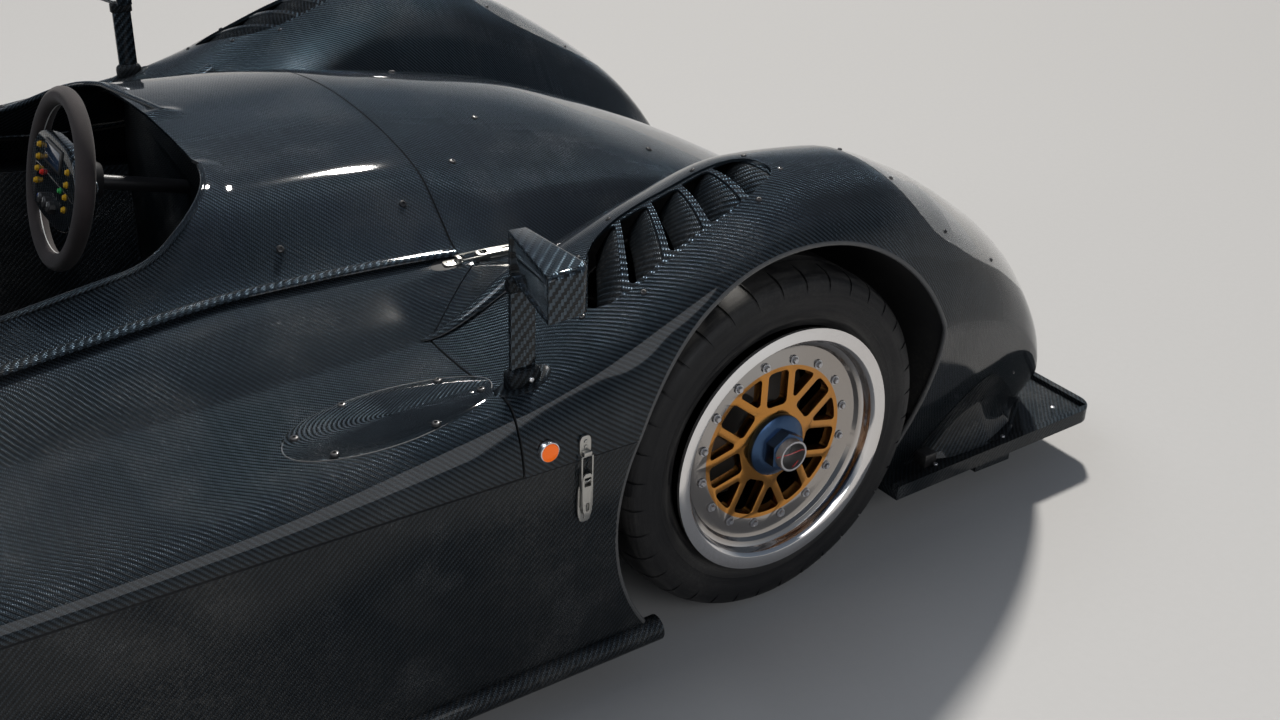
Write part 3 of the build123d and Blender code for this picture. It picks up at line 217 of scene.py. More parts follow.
def sections(x):
    """Y and Z of whole half sections of the body, a last axis of samples from the roof to the flank."""
    x = np.asarray(x, dtype=float)[..., None]
    columns = [through(STATIONS[:, 0], STATIONS[:, column], x) for column in range(1, 15)]
    centre_z, hump_y, hump_z, valley_y, valley_z, inner_y, inner_z = columns[:7]
    crest_y, crest_z, shoulder_y, shoulder_z, edge_y, edge_z, bottom_y = columns[7:]
    roof, side, valley, fender, shoulder, flank = (np.linspace(0, 1, n + 1)[:-1] for n in STRETCHES)
    drop = np.maximum(centre_z - hump_z, 1e-4)
    roof_radius = (hump_y**2 + drop**2) / (2 * drop)
    turn = np.arcsin(np.clip(hump_y / roof_radius, 0, 1)) * roof
    ys = [
        roof_radius * np.sin(turn),
        hump_y + (valley_y - hump_y) * side,
        valley_y + (inner_y - valley_y) * valley,
    ]
    zs = [
        centre_z - roof_radius * (1 - np.cos(turn)),
        hump_z + (valley_z - hump_z) * side,
        valley_z + (inner_z - valley_z) * valley,
    ]
    ay, az, by, bz = crest_y - inner_y, crest_z - inner_z, shoulder_y - inner_y, shoulder_z - inner_z
    cross = 2 * (ay * bz - az * by)
    cross = np.where(np.abs(cross) < 1e-9, 1e-9, cross)
    a2, b2 = ay**2 + az**2, by**2 + bz**2
    cy, cz = (bz * a2 - az * b2) / cross, (ay * b2 - by * a2) / cross
    start = np.arctan2(-cz, -cy)
    middle, end = np.arctan2(az - cz, ay - cy), np.arctan2(bz - cz, by - cy)
    sweep = wrapped(middle - start) + wrapped(end - middle)
    radius = np.hypot(cy, cz)
    ys.append(inner_y + cy + radius * np.cos(start + sweep * fender))
    zs.append(inner_z + cz + radius * np.sin(start + sweep * fender))
    out, up = np.maximum(edge_y - shoulder_y, 1e-4), shoulder_z - edge_z
    radius = (out**2 + up**2) / (2 * out)
    turn = np.arctan2(up, radius - out) * (1 - shoulder)
    ys.append(edge_y - radius * (1 - np.cos(turn)))
    zs.append(edge_z + radius * np.sin(turn))
    ys.append(edge_y + (bottom_y - edge_y) * flank)
    zs.append(edge_z + (BODY_BOTTOM_Z * MM - edge_z) * flank)
    ys.append(bottom_y)
    zs.append(np.full_like(bottom_y, BODY_BOTTOM_Z * MM))
    y, z = np.concatenate(ys, axis=-1), np.concatenate(zs, axis=-1)
    for _ in range(SMOOTH_PASSES):
        y, z = softened(y, -1), softened(z, 1)
    return y, z


def softened(values, mirror):
    """One averaging pass along the section, with the roof's centre as a mirror and the flank kept."""
    padded = np.concatenate([mirror * values[..., 1:2], values], axis=-1)
    mean = (padded[..., :-2] + 2 * padded[..., 1:-1] + padded[..., 2:]) / 4
    result = values.copy()
    result[..., : EDGE - 1] = mean[..., : EDGE - 1]
    return result


def skin(x, t):
    """Points on the body skin at places along the car and samples of the section, minus on the right."""
    x, t = np.broadcast_arrays(np.asarray(x, dtype=float), np.asarray(t, dtype=float))
    y, z = sections(x)
    place = np.clip(np.abs(t), 0, BOTTOM - 1e-6)
    low = place.astype(int)[..., None]
    share = place - low[..., 0]

    def pick(values):
        below = np.take_along_axis(values, low, axis=-1)[..., 0]
        above = np.take_along_axis(values, low + 1, axis=-1)[..., 0]
        return below + (above - below) * share

    return np.stack([x, pick(y) * np.where(t < 0, -1, 1), pick(z)], axis=-1)


def over(x, y):
    """Points of the skin above places in plan, on either side."""
    x, y = np.broadcast_arrays(np.asarray(x, dtype=float), np.asarray(y, dtype=float))
    ys, zs = sections(x.reshape(-1))
    flat = [
        np.interp(abs(place), row_y[: SHOULDER + 8], row_z[: SHOULDER + 8])
        for place, row_y, row_z in zip(y.reshape(-1), ys, zs)
    ]
    return np.stack([x, y, np.array(flat).reshape(x.shape)], axis=-1)


def beside(x, z):
    """Points of the left flank at a height."""
    x, z = np.broadcast_arrays(np.asarray(x, dtype=float), np.asarray(z, dtype=float))
    ys, zs = sections(x.reshape(-1))
    flat = [
        np.interp(-height, -row_z[CREST:], row_y[CREST:])
        for height, row_y, row_z in zip(z.reshape(-1), ys, zs)
    ]
    return np.stack([x, np.array(flat).reshape(x.shape), z], axis=-1)


def select(*pieces):
    """Select only these pieces and make the first one active."""
    if bpy.context.object and bpy.context.object.mode != "OBJECT":
        bpy.ops.object.mode_set(mode="OBJECT")
    bpy.ops.object.select_all(action="DESELECT")
    for piece in pieces:
        piece.select_set(True)
    if pieces:
        bpy.context.view_layer.objects.active = pieces[0]


def added(name):
    """The object that was just added, named together with its mesh."""
    piece = bpy.context.object
    piece.name = piece.data.name = name
    return piece


def modify(piece, kind, **settings):
    """Add a modifier with these settings and apply it."""
    select(piece)
    modifier = piece.modifiers.new(kind.title(), kind)
    for key, value in settings.items():
        setattr(modifier, key, value)
    bpy.ops.object.modifier_apply(modifier=modifier.name)


def select_whole():
    bpy.ops.mesh.select_all(action="SELECT")


def edit(piece, *steps):
    """Run edit mode steps on the whole mesh."""
    select(piece)
    bpy.ops.object.mode_set(mode="EDIT")
    select_whole()
    for step in steps:
        step()
    bpy.ops.object.mode_set(mode="OBJECT")


MERGE_DISTANCE = 1e-5


def merge():
    bpy.ops.mesh.remove_doubles(threshold=MERGE_DISTANCE)


def turn_out():
    bpy.ops.mesh.normals_make_consistent(inside=False)


def smooth(piece, degrees):
    select(piece)
    bpy.ops.object.shade_smooth_by_angle(angle=radians(degrees))


def lengths(points, axis):
    """Running length along the rows or the columns of a table of places."""
    steps = np.linalg.norm(np.diff(points, axis=axis), axis=-1)
    start = np.zeros_like(np.take(steps, [0], axis=axis))
    return np.concatenate([start, np.cumsum(steps, axis=axis)], axis=axis)


def cloth_places(points, corners, start, zones):
    """Weave places of a grid's corners: lengths along it and across it, in each zone from its own column."""
    along, across = lengths(points, 0), lengths(points, 1)
    columns = points.shape[1]
    row, column = corners // columns, corners % columns
    if zones is None:
        return np.stack([along[row, column], across[row, column]], axis=-1)
    zone = np.searchsorted([first for first, _ in zones], start % columns, side="right") - 1
    base = np.repeat(np.array([middle for _, middle in zones])[zone], 4)
    return np.stack([along[row, base], across[row, column] - across[row, base]], axis=-1)


def delete_faces(piece, unwanted):
    """Delete the faces that a row of true and false marks."""
    select(piece)
    bpy.ops.object.mode_set(mode="EDIT")
    bpy.ops.mesh.select_mode(type="FACE")
    bpy.ops.mesh.select_all(action="DESELECT")
    bpy.ops.object.mode_set(mode="OBJECT")
    piece.data.polygons.foreach_set("select", unwanted)
    bpy.ops.object.mode_set(mode="EDIT")
    bpy.ops.mesh.delete(type="FACE")
    bpy.ops.object.mode_set(mode="OBJECT")


def surface(name, points, ring=False, zones=None, keep=None):
    """A grid whose corners are moved to a table of places. A ring closes its columns into a tube."""
    points = np.asarray(points, dtype=float)
    if ring:
        points = np.concatenate([points, points[:, :1]], axis=1)
    rows, columns = points.shape[:2]
    select()
    bpy.ops.mesh.primitive_grid_add(x_subdivisions=columns - 1, y_subdivisions=rows - 1, size=1)
    piece = added(name)
    mesh = piece.data
    mesh.vertices.foreach_set("co", points.reshape(-1))
    corners = np.empty(len(mesh.loops), dtype=int)
    mesh.loops.foreach_get("vertex_index", corners)
    start = corners.reshape(-1, 4).min(axis=1)
    cloth = cloth_places(points, corners, start, zones)
    mesh.uv_layers[0].name = "cloth"
    mesh.uv_layers[0].uv.foreach_set("vector", cloth.reshape(-1).astype(np.float32))
    if keep is not None:
        delete_faces(piece, ~keep(start // columns, start % columns))
    mesh.update()
    return piece


def face_away(piece, middle):
    """Turn an open sheet so that its faces look away from a point, whose X may be None for any."""
    total = 0.0
    for polygon in piece.data.polygons:
        x = polygon.center.x if middle[0] is None else middle[0]
        out = polygon.center - Vector((x, *middle[1:]))
        total += out.dot(polygon.normal) * polygon.area
    if total < 0:
        edit(piece, bpy.ops.mesh.flip_normals)


def cloth_layer(mesh):
    """The UV map that every weave reads."""
    return mesh.uv_layers.get("cloth") or mesh.uv_layers.new(name="cloth")


def cloth_map(piece):
    """Lay the weave square over each face along its own two flattest directions."""
    mesh = piece.data
    layer = cloth_layer(mesh)
    places = np.empty(len(mesh.vertices) * 3)
    mesh.vertices.foreach_get("co", places)
    places = places.reshape(-1, 3)
    values = np.empty((len(mesh.loops), 2), dtype=np.float32)
    others = {0: (1, 2), 1: (0, 2), 2: (0, 1)}
    for polygon in mesh.polygons:
        first, second = others[int(np.argmax(np.abs(polygon.normal)))]
        loops = range(polygon.loop_start, polygon.loop_start + polygon.loop_total)
        corners = places[list(polygon.vertices)]
        values[list(loops)] = corners[:, [first, second]]
    layer.uv.foreach_set("vector", values.reshape(-1))


RING_MAP_RADIUS = 0.1


def ring_map(piece, centre_x, centre_z):
    """Lay a pattern round an axle: length round it against distance from it."""
    mesh = piece.data
    layer = cloth_layer(mesh)
    for polygon in mesh.polygons:
        middle = atan2(polygon.center.z - centre_z, polygon.center.x - centre_x)
        for loop in range(polygon.loop_start, polygon.loop_start + polygon.loop_total):
            place = mesh.vertices[mesh.loops[loop].vertex_index].co
            turn = atan2(place.z - centre_z, place.x - centre_x)
            turn = middle + wrapped(turn - middle)
            radius = hypot(place.x - centre_x, place.z - centre_z)
            layer.data[loop].uv = (turn * RING_MAP_RADIUS, radius + place.y)


def joined(pieces, name):
    """Make one piece of several."""
    select(*pieces)
    bpy.ops.object.join()
    return added(name)


def copied(piece, name, matrix):
    """A copy with its own mesh, moved by a matrix, and turned right side out if that mirrors it."""
    select(piece)
    bpy.ops.object.duplicate(linked=False)
    copy = added(name)
    copy.data.transform(matrix)
    if matrix.determinant() < 0:
        copy.data.flip_normals()
    return copy


MIRROR = Matrix.Diagonal((1, -1, 1, 1))
# Radius at which an outline ends beside its axis, a hole too fine to see.
ON_AXIS = 0.0001


def mirrored(piece):
    """Carry a piece of the left side to the right side."""
    piece.data.transform(MIRROR)
    piece.data.flip_normals()


def raised(piece, height):
    """Lift a piece along Z."""
    piece.data.transform(Matrix.Translation((0, 0, height)))
    return piece


def lathe(name, profile, steps=96, centre=(0, 0, 0), axis=ACROSS):
    """Turn a closed outline round an axis along Y at the origin, then carry it to its axis and centre."""
    select()
    bpy.ops.mesh.primitive_circle_add(vertices=len(profile), radius=1, fill_type="NOTHING")
    piece = added(name)
    for vertex, (radius, along) in zip(piece.data.vertices, profile):
        vertex.co = (radius, along, 0)
    edit(
        piece,
        lambda: bpy.ops.mesh.spin(steps=steps, angle=2 * pi, center=(0, 0, 0), axis=ACROSS),
        select_whole,
        merge,
        turn_out,
    )
    turn = Vector(ACROSS).rotation_difference(Vector(axis)).to_matrix().to_4x4()
    piece.data.transform(Matrix.Translation(centre) @ turn)
    return piece


def lathe_solid(name, profile, steps=96, centre=(0, 0, 0), axis=ACROSS):
    """Turn an open outline, closed straight to the axis at both ends."""
    whole = [(ON_AXIS, profile[0][1]), *profile, (ON_AXIS, profile[-1][1])]
    return lathe(name, whole, steps, centre, axis)


def rod(name, radius, low, high, steps, centre=(0, 0, 0), axis=ACROSS):
    """A plain round bar between two places along its axis."""
    return lathe_solid(name, [(radius, low), (radius, high)], steps, centre, axis)


def plate(name, outline, thickness, bevel=0.0, segments=2):
    """A flat outline in X and Y, thickened downwards from Z 0, with bevelled edges."""
    select()
    bpy.ops.mesh.primitive_circle_add(vertices=len(outline), radius=1, fill_type="NGON")
    piece = added(name)
    for vertex, (x, y) in zip(piece.data.vertices, outline):
        vertex.co = (x, y, 0)
    edit(
        piece,
        lambda: bpy.ops.mesh.extrude_region_move(TRANSFORM_OT_translate={"value": (0, 0, -thickness)}),
        select_whole,
        turn_out,
    )
    if bevel:
        modify(piece, "BEVEL", width=bevel, segments=segments, limit_method="ANGLE", angle_limit=radians(40))
    return piece


def block(name, low, high, bevel=0.002, segments=2):
    """A box between two corners with bevelled edges."""
    select()
    bpy.ops.mesh.primitive_cube_add(size=1)
    piece = added(name)
    low, high = Vector(low), Vector(high)
    size = high - low
    piece.data.transform(Matrix.Translation((low + high) / 2) @ Matrix.Diagonal((*size, 1)))
    if bevel:
        modify(piece, "BEVEL", width=bevel, segments=segments, limit_method="ANGLE")
    return piece


TIP_SHARE = 0.02


def pointed(rows):
    """Rings of a tube with a nearly closed ring more at either end."""
    rows = np.asarray(rows, dtype=float)
    tips = [row.mean(axis=0) + (row - row.mean(axis=0)) * TIP_SHARE for row in (rows[0], rows[-1])]
    return np.concatenate([tips[0][None], rows, tips[1][None]])


def pipe(name, points, radius, sides=12, flat=1.0, closed=False):
    """A round or flattened tube along points, with flat or joined ends."""
    points = [Vector(point) for point in points]
    count = len(points)
    rings = []
    up = Vector(UP)
    for index, point in enumerate(points):
        after = points[(index + 1) % count] if closed or index + 1 < count else point
        before = points[index - 1] if closed or index else point
        along = (after - before).normalized()
        side = along.cross(up)
        side = side.normalized() if side.length > 1e-4 else Vector(ACROSS)
        top = side.cross(along)
        ring = [
            point + side * radius * cos(2 * pi * k / sides) + top * radius * flat * sin(2 * pi * k / sides)
            for k in range(sides)
        ]
        rings.append(ring)
    if closed:
        rings.append(rings[0])
    else:
        tips = []
        for point, ring in ((points[0], rings[0]), (points[-1], rings[-1])):
            tips.append([point + (corner - point) * TIP_SHARE for corner in ring])
        rings = [tips[0], *rings, tips[1]]
    piece = surface(name, np.array(rings), ring=True)
    edit(piece, merge, turn_out)
    return piece


def fillet(points, radii, steps=10):
    """An open outline whose inner corners are arcs."""
    outline = [Vector(points[0])]
    for before, corner, after, radius in zip(points, points[1:], points[2:], radii):
        before, corner, after = Vector(before), Vector(corner), Vector(after)
        back, ahead = (before - corner).normalized(), (after - corner).normalized()
        half = back.angle(ahead) / 2
        reach = radius / np.tan(half)
        centre = corner + (back + ahead).normalized() * (radius / sin(half))
        start, end = corner + back * reach - centre, corner + ahead * reach - centre
        turn = wrapped(atan2(end.y, end.x) - atan2(start.y, start.x))
        for step in range(steps + 1):
            angle = turn * step / steps
            outline.append(centre + Matrix.Rotation(angle, 2) @ start)
    outline.append(Vector(points[-1]))
    return outline


def rounded(points, passes=2):
    """A closed outline with its corners cut again and again."""
    points = [Vector(point) for point in points]
    for _ in range(passes):
        cut = []
        for here, after in zip(points, points[1:] + points[:1]):
            cut += [here.lerp(after, 0.2), here.lerp(after, 0.8)]
        points = cut
    return points


def filleted(points, radius, steps=6):
    """A closed outline whose corners are arcs of one radius."""
    corners = [Vector(point) for point in points]
    middles = (corners[-1] + corners[0]) / 2
    outline = fillet([middles, *corners, middles], [radius] * len(corners), steps)
    return outline[1:-1]


def strip(from_x, to_x, from_half, to_half=None):
    """Plan outline of a strip along X with its half widths at both ends."""
    to_half = to_half or from_half
    return [(from_x, -from_half), (to_x, -to_half), (to_x, to_half), (from_x, from_half)]


def prism(name, outline, low_z, high_z):
    """A cutting block over a plan outline."""
    return raised(plate(name, [tuple(point) for point in outline], high_z - low_z), high_z)


ARCH_CUT_Y = (0.60, 1.0)


def arch_drum(axle, radius):
    """Cutting cylinder of a left wheel arch."""
    return rod("arch_cut", radius, *ARCH_CUT_Y, 128, (axle[0], 0, axle[1]))


def cut(piece, cutters, operation="DIFFERENCE"):
    """Cut a closed piece with cutting blocks, which are used up."""
    for cutter in cutters:
        modify(piece, "BOOLEAN", operation=operation, solver="MANIFOLD", object=cutter)
        bpy.data.objects.remove(cutter)


def both_sides(cutter):
    return [cutter, copied(cutter, cutter.name + "_far", MIRROR)]


def trim(points, sides):
    """Move the named edges of a table of places back by the width of a seam."""
    for name in sides:
        view = points if name in ("first", "last") else points.transpose(1, 0, 2)
        edge, inner = (0, 1) if name in ("first", "low") else (-1, -2)
        step = view[inner] - view[edge]
        view[edge] += step / np.linalg.norm(step, axis=-1, keepdims=True) * SEAM_TRIM
    return points


def panel(name, points, zones, centre, keep=None, wall_share=1.0):
    """A body panel: a sheet with a wall inwards and a worn edge all round."""
    piece = surface(name, points, zones=zones, keep=keep)
    face_away(piece, centre)
    piece.data.materials.append(MATERIALS["carbon_body"])
    piece.data.materials.append(MATERIALS["carbon_edge"])
    wall = bpy.context.scene.car_sizes.skin_wall * wall_share
    modify(piece, "SOLIDIFY", thickness=wall, offset=-1, material_offset_rim=1)
    return piece


SMOOTH_ANGLE = 32


def finish(piece, body, material=None, replaces=(), angle=SMOOTH_ANGLE):
    """Shade a piece, give it its material and its body, and hide the parts of the frame that it stands for.
    """
    if material:
        piece.data.materials.clear()
        piece.data.materials.append(MATERIALS[material])
    smooth(piece, angle)
    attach(piece, body)
    if replaces:
        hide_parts(*replaces)
    return piece


def finish_pair(left, material=None, replaces=()):
    """Finish a left piece of the chassis and its copy on the right."""
    right = copied(left, left.name.replace("left", "right"), MIRROR)
    for piece in (left, right):
        finish(piece, CHASSIS, material, replaces)


def dressed(node, material, body=CHASSIS, bevel=0.0, cloth=True):
    """A copy of a solid of the frame, with merged corners, softened edges and its own finish."""
    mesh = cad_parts[node].data.copy()
    mesh.materials.clear()
    piece = bpy.data.objects.new(node + "_dressed", mesh)
    bpy.context.collection.objects.link(piece)
    select(piece)
    if mesh.has_custom_normals:
        bpy.ops.mesh.customdata_custom_splitnormals_clear()
    for layer in list(mesh.uv_layers):
        mesh.uv_layers.remove(layer)
    edit(
        piece,
        merge,
        lambda: bpy.ops.mesh.dissolve_limited(angle_limit=radians(0.4)),
        turn_out,
    )
    if bevel:
        modify(
            piece, "BEVEL", width=bevel, segments=2, limit_method="ANGLE",
            angle_limit=radians(30), use_clamp_overlap=True,
        )
    if cloth:
        cloth_map(piece)
    return finish(piece, body, material, (node,))


def feed(tree, socket, value):
    """Link a socket to another one, or give it a value."""
    if isinstance(value, bpy.types.NodeSocket):
        tree.links.new(value, socket)
    else:
        socket.default_value = value


def opaque(colour):
    """A colour with its fourth value; a socket or a number stays as it is."""
    return (*colour, 1) if isinstance(colour, tuple) and len(colour) == 3 else colour


def node(tree, kind, sockets=None, **settings):
    """A shader node with its settings and its sockets, each a value or a link."""
    made = tree.nodes.new("ShaderNode" + kind)
    for key, value in settings.items():
        setattr(made, key, value)
    for key, value in (sockets or {}).items():
        feed(tree, made.inputs[key], value)
    return made


def calc(tree, operation, first, second=0.0, third=0.0):
    """The result of one step of arithmetic."""
    return node(tree, "Math", {0: first, 1: second, 2: third}, operation=operation).outputs[0]


def blend(tree, share, first, second):
    """A mix of two colours."""
    colours = {0: share, 6: opaque(first), 7: opaque(second)}
    return node(tree, "Mix", colours, data_type="RGBA").outputs[2]


def noise(tree, place, scale, detail, **more):
    """Value of a cloudy pattern."""
    return node(tree, "TexNoise", {"Vector": place, "Scale": scale, "Detail": detail, **more}).outputs[0]


def ramp(tree, value, low, high, to_low=0.0, to_high=1.0):
    """A value mapped from one range to another and held there."""
    made = node(tree, "MapRange", {0: value, 1: low, 2: high, 3: to_low, 4: to_high}, clamp=True)
    return made.outputs[0]


def group(name, inputs, outputs):
    """An empty node group with named sockets: its tree, its input sockets and its output node."""
    tree = bpy.data.node_groups.new(name, "ShaderNodeTree")
    for label, kind, default in inputs:
        socket = tree.interface.new_socket(label, in_out="INPUT", socket_type="NodeSocket" + kind)
        if default is not None:
            socket.default_value = default
    for label, kind in outputs:
        tree.interface.new_socket(label, in_out="OUTPUT", socket_type="NodeSocket" + kind)
    return tree, tree.nodes.new("NodeGroupInput").outputs, tree.nodes.new("NodeGroupOutput").inputs


def use(tree, name, **sockets):
    """A node group placed in a material with its own values."""
    made = tree.nodes.new("ShaderNodeGroup")
    made.node_tree = bpy.data.node_groups[name]
    for key, value in sockets.items():
        feed(tree, made.inputs[key], value)
    return made.outputs


TOW_WAVER = 0.002
TOW_DIVE = 0.8


def hump(tree, share):
    """Up from 0 to 1 and back, over a share from 0 to 1."""
    return calc(tree, "SINE", calc(tree, "MULTIPLY", share, pi))


def tow_height(tree, across_tow, along_tow, lane):
    """Height of a tow: round from side to side, and dipping where it goes under the others."""
    span = calc(tree, "FLOORED_MODULO", calc(tree, "ADD", along_tow, lane), 2.0)
    dive = hump(tree, calc(tree, "DIVIDE", span, 2.0))
    return calc(tree, "MULTIPLY_ADD", dive, TOW_DIVE, hump(tree, calc(tree, "FRACT", across_tow)))


def twill_group():
    """Two over, two under cloth: which tow lies on top, its rounded height and its own shade."""
    tree, given, wanted = group(
        "twill",
        [("Place", "Vector", None), ("Tow", "Float", 0.002)],
        [("Over", "Float"), ("Height", "Float"), ("Shade", "Float")],
    )
    wobble = node(tree, "TexNoise", {"Vector": given["Place"], "Scale": 9.0, "Detail": 1.0})
    shift = node(tree, "VectorMath", {0: wobble.outputs["Color"], 1: (0.5, 0.5, 0.5)}, operation="SUBTRACT")
    moved = node(
        tree, "VectorMath", {0: shift.outputs[0], 1: (TOW_WAVER, TOW_WAVER, 0), 2: given["Place"]},
        operation="MULTIPLY_ADD",
    )
    place = node(tree, "SeparateXYZ", {0: moved.outputs[0]}).outputs
    along = calc(tree, "DIVIDE", place["X"], given["Tow"])
    across = calc(tree, "DIVIDE", place["Y"], given["Tow"])
    column, row = calc(tree, "FLOOR", along), calc(tree, "FLOOR", across)
    step = calc(tree, "FLOORED_MODULO", calc(tree, "SUBTRACT", column, row), 4.0)
    over = calc(tree, "LESS_THAN", step, 2.0)
    warp = tow_height(tree, along, across, column)
    weft = tow_height(tree, across, along, row)
    height = node(tree, "Mix", {0: over, 2: weft, 3: warp}).outputs[0]
    lane = node(tree, "Mix", {0: over, 2: row, 3: column}).outputs[0]
    shade = node(tree, "TexWhiteNoise", {"W": lane}, noise_dimensions="1D").outputs["Value"]
    tree.links.new(over, wanted["Over"])
    tree.links.new(height, wanted["Height"])
    tree.links.new(shade, wanted["Shade"])


def wear_group():
    """Dust that gathers in patches, fine crossing scratches and a slow stain."""
    tree, given, wanted = group(
        "wear",
        [("Place", "Vector", None), ("Dust", "Float", 0.5), ("Scratches", "Float", 0.5)],
        [("Dust", "Float"), ("Scratch", "Float"), ("Stain", "Float")],
    )
    cloud = noise(tree, given["Place"], 3.0, 6.0, Roughness=0.62)
    speck = noise(tree, given["Place"], 160.0, 3.0, Roughness=0.7)
    patch = ramp(tree, cloud, 0.44, 0.74)
    grain = ramp(tree, speck, 0.44, 0.70)
    dust = calc(tree, "MULTIPLY", calc(tree, "MULTIPLY_ADD", grain, 0.7, 0.3), patch)
    tree.links.new(calc(tree, "MULTIPLY", dust, given["Dust"]), wanted["Dust"])
    marks = []
    for turn, scale in ((0.5, 34.0), (2.1, 27.0), (1.2, 41.0)):
        turned = node(tree, "Mapping", {"Vector": given["Place"], "Rotation": (0.3, turn, turn)})
        streak = node(tree, "Mapping", {"Vector": turned.outputs[0], "Scale": (1.0, 14.0, 14.0)})
        mark = noise(tree, streak.outputs[0], scale, 1.0)
        thin = calc(tree, "ABSOLUTE", calc(tree, "SUBTRACT", mark, 0.5))
        marks.append(ramp(tree, thin, 0.0, 0.006, 1.0, 0.0))
    found = calc(tree, "MAXIMUM", marks[0], calc(tree, "MAXIMUM", marks[1], marks[2]))
    where = noise(tree, given["Place"], 7.0, 3.0)
    found = calc(tree, "MULTIPLY", found, ramp(tree, where, 0.52, 0.66))
    tree.links.new(calc(tree, "MULTIPLY", found, given["Scratches"]), wanted["Scratch"])
    stain = noise(tree, given["Place"], 1.7, 4.0, Distortion=0.6)
    tree.links.new(ramp(tree, stain, 0.35, 0.7), wanted["Stain"])


MATERIALS = {}


def material(name):
    """A new material: its tree, its shader, and the places that patterns read."""
    made = bpy.data.materials.new(name)
    made.use_nodes = True
    MATERIALS[name] = made
    tree = made.node_tree
    shader = tree.nodes["Principled BSDF"]
    places = node(tree, "TexCoord").outputs["Object"]
    return tree, shader, places


def put(tree, shader, **sockets):
    """Give sockets of the shader a value or a link; words are joined by spaces in its names."""
    for key, value in sockets.items():
        feed(tree, shader.inputs[key.replace("_", " ")], opaque(value))


def bump(tree, height, strength, distance):
    return node(tree, "Bump", {"Height": height, "Strength": strength, "Distance": distance}).outputs[0]


CARBON_EDGE_TINT = (0.10, 0.145, 0.20)
CARBON_METALLIC = 0.85
TOW_BUMP = 0.0006


def carbon(name, bright, shaded_tow, coat, dust, scratches, tow=1.0, roughness=0.40):
    """Clear coated twill carbon under a smooth or satin coat: tows that shine by their direction through
    their bumps, with painted sheen on the tows of one direction and painted shade on those across them.
    """
    tree, shader, places = material(name)
    width = bpy.context.scene.car_sizes.tow_width * tow
    cloth = node(tree, "UVMap", uv_map="cloth").outputs[0]
    twill = use(tree, "twill", Place=cloth, Tow=width)
    wear = use(tree, "wear", Place=places, Dust=dust, Scratches=scratches)
    lit = ramp(tree, twill["Shade"], 0.0, 1.0, 0.75, 1.0)
    # Tows that run one way take the bright colour, a painted sheen, and tows across them take the dull one, a
    # painted shade; each lane also has its own random tone.
    tone_and_sheen = calc(tree, "MULTIPLY", lit, ramp(tree, twill["Over"], 0.0, 1.0, 0.05, 1.0))
    base = blend(tree, tone_and_sheen, shaded_tow, bright)
    stained = blend(tree, calc(tree, "MULTIPLY", wear["Stain"], 0.25), base, (0.02, 0.018, 0.016))
    dusty = blend(tree, wear["Dust"], stained, (0.20, 0.185, 0.165))
    marked = blend(tree, wear["Scratch"], dusty, (0.55, 0.55, 0.54))
    cover = calc(tree, "MAXIMUM", wear["Dust"], wear["Scratch"])
    tow_shine = ramp(tree, twill["Over"], 0.0, 1.0, roughness + 0.10, roughness - 0.12)
    rough = calc(tree, "MULTIPLY_ADD", cover, 0.4, tow_shine)
    metallic = ramp(tree, cover, 0.0, 1.0, CARBON_METALLIC, 0.1)
    lacquer = ramp(tree, cover, 0.0, 0.8, coat, coat * 0.2)
    put(
        tree, shader, Base_Color=marked, Metallic=metallic, Roughness=rough,
        Normal=bump(tree, twill["Height"], 1.0, TOW_BUMP), Specular_Tint=CARBON_EDGE_TINT,
        Coat_Weight=lacquer, Coat_Roughness=0.05 if coat > 0.5 else 0.3, Coat_IOR=1.31,
    )


def metal(name, colour, roughness, scratches=0.4, dust=0.15, brushed=0.0, metallic=1.0, coat=0.0):
    """Bare, plated or painted metal with grime, fine scratches and lathe marks."""
    tree, shader, places = material(name)
    wear = use(tree, "wear", Place=places, Dust=dust, Scratches=scratches)
    base = blend(tree, calc(tree, "MULTIPLY", wear["Stain"], 0.35), colour, tuple(c * 0.55 for c in colour))
    dusty = blend(tree, wear["Dust"], base, (0.33, 0.30, 0.26))
    rough = calc(tree, "MULTIPLY_ADD", wear["Stain"], 0.12, roughness)
    rough = calc(tree, "MULTIPLY_ADD", wear["Dust"], 0.4, rough)
    height = wear["Scratch"]
    if brushed:
        cloth = node(tree, "UVMap", uv_map="cloth").outputs[0]
        long = node(tree, "Mapping", {"Vector": cloth, "Scale": (1.5, 900.0, 1.0)})
        rings = noise(tree, long.outputs[0], 1.0, 4.0)
        height = calc(tree, "MULTIPLY_ADD", rings, brushed, wear["Scratch"])
    shine = calc(tree, "MULTIPLY", ramp(tree, wear["Dust"], 0.0, 1.0, 1.0, 0.2), metallic)
    put(
        tree, shader, Base_Color=dusty, Metallic=shine, Roughness=rough,
        Normal=bump(tree, height, 0.3, 0.0002), Coat_Weight=coat, Coat_Roughness=0.08,
    )


# The gold centre of a rim ends at this radius and starts this far out from the car's middle line.
RIM_GOLD_RADIUS = 0.1335
RIM_GOLD_Y = 0.790
FINISH_EDGE = 0.0005


def round_axle(tree, places, axle):
    """Distance from an axle, angle round it, and distance from the car's middle line."""
    place = node(tree, "SeparateXYZ", {0: places}).outputs
    dx = calc(tree, "SUBTRACT", place["X"], axle[0])
    dz = calc(tree, "SUBTRACT", place["Z"], axle[1])
    square = calc(tree, "ADD", calc(tree, "MULTIPLY", dx, dx), calc(tree, "MULTIPLY", dz, dz))
    return calc(tree, "SQRT", square), calc(tree, "ARCTAN2", dz, dx), calc(tree, "ABSOLUTE", place["Y"])


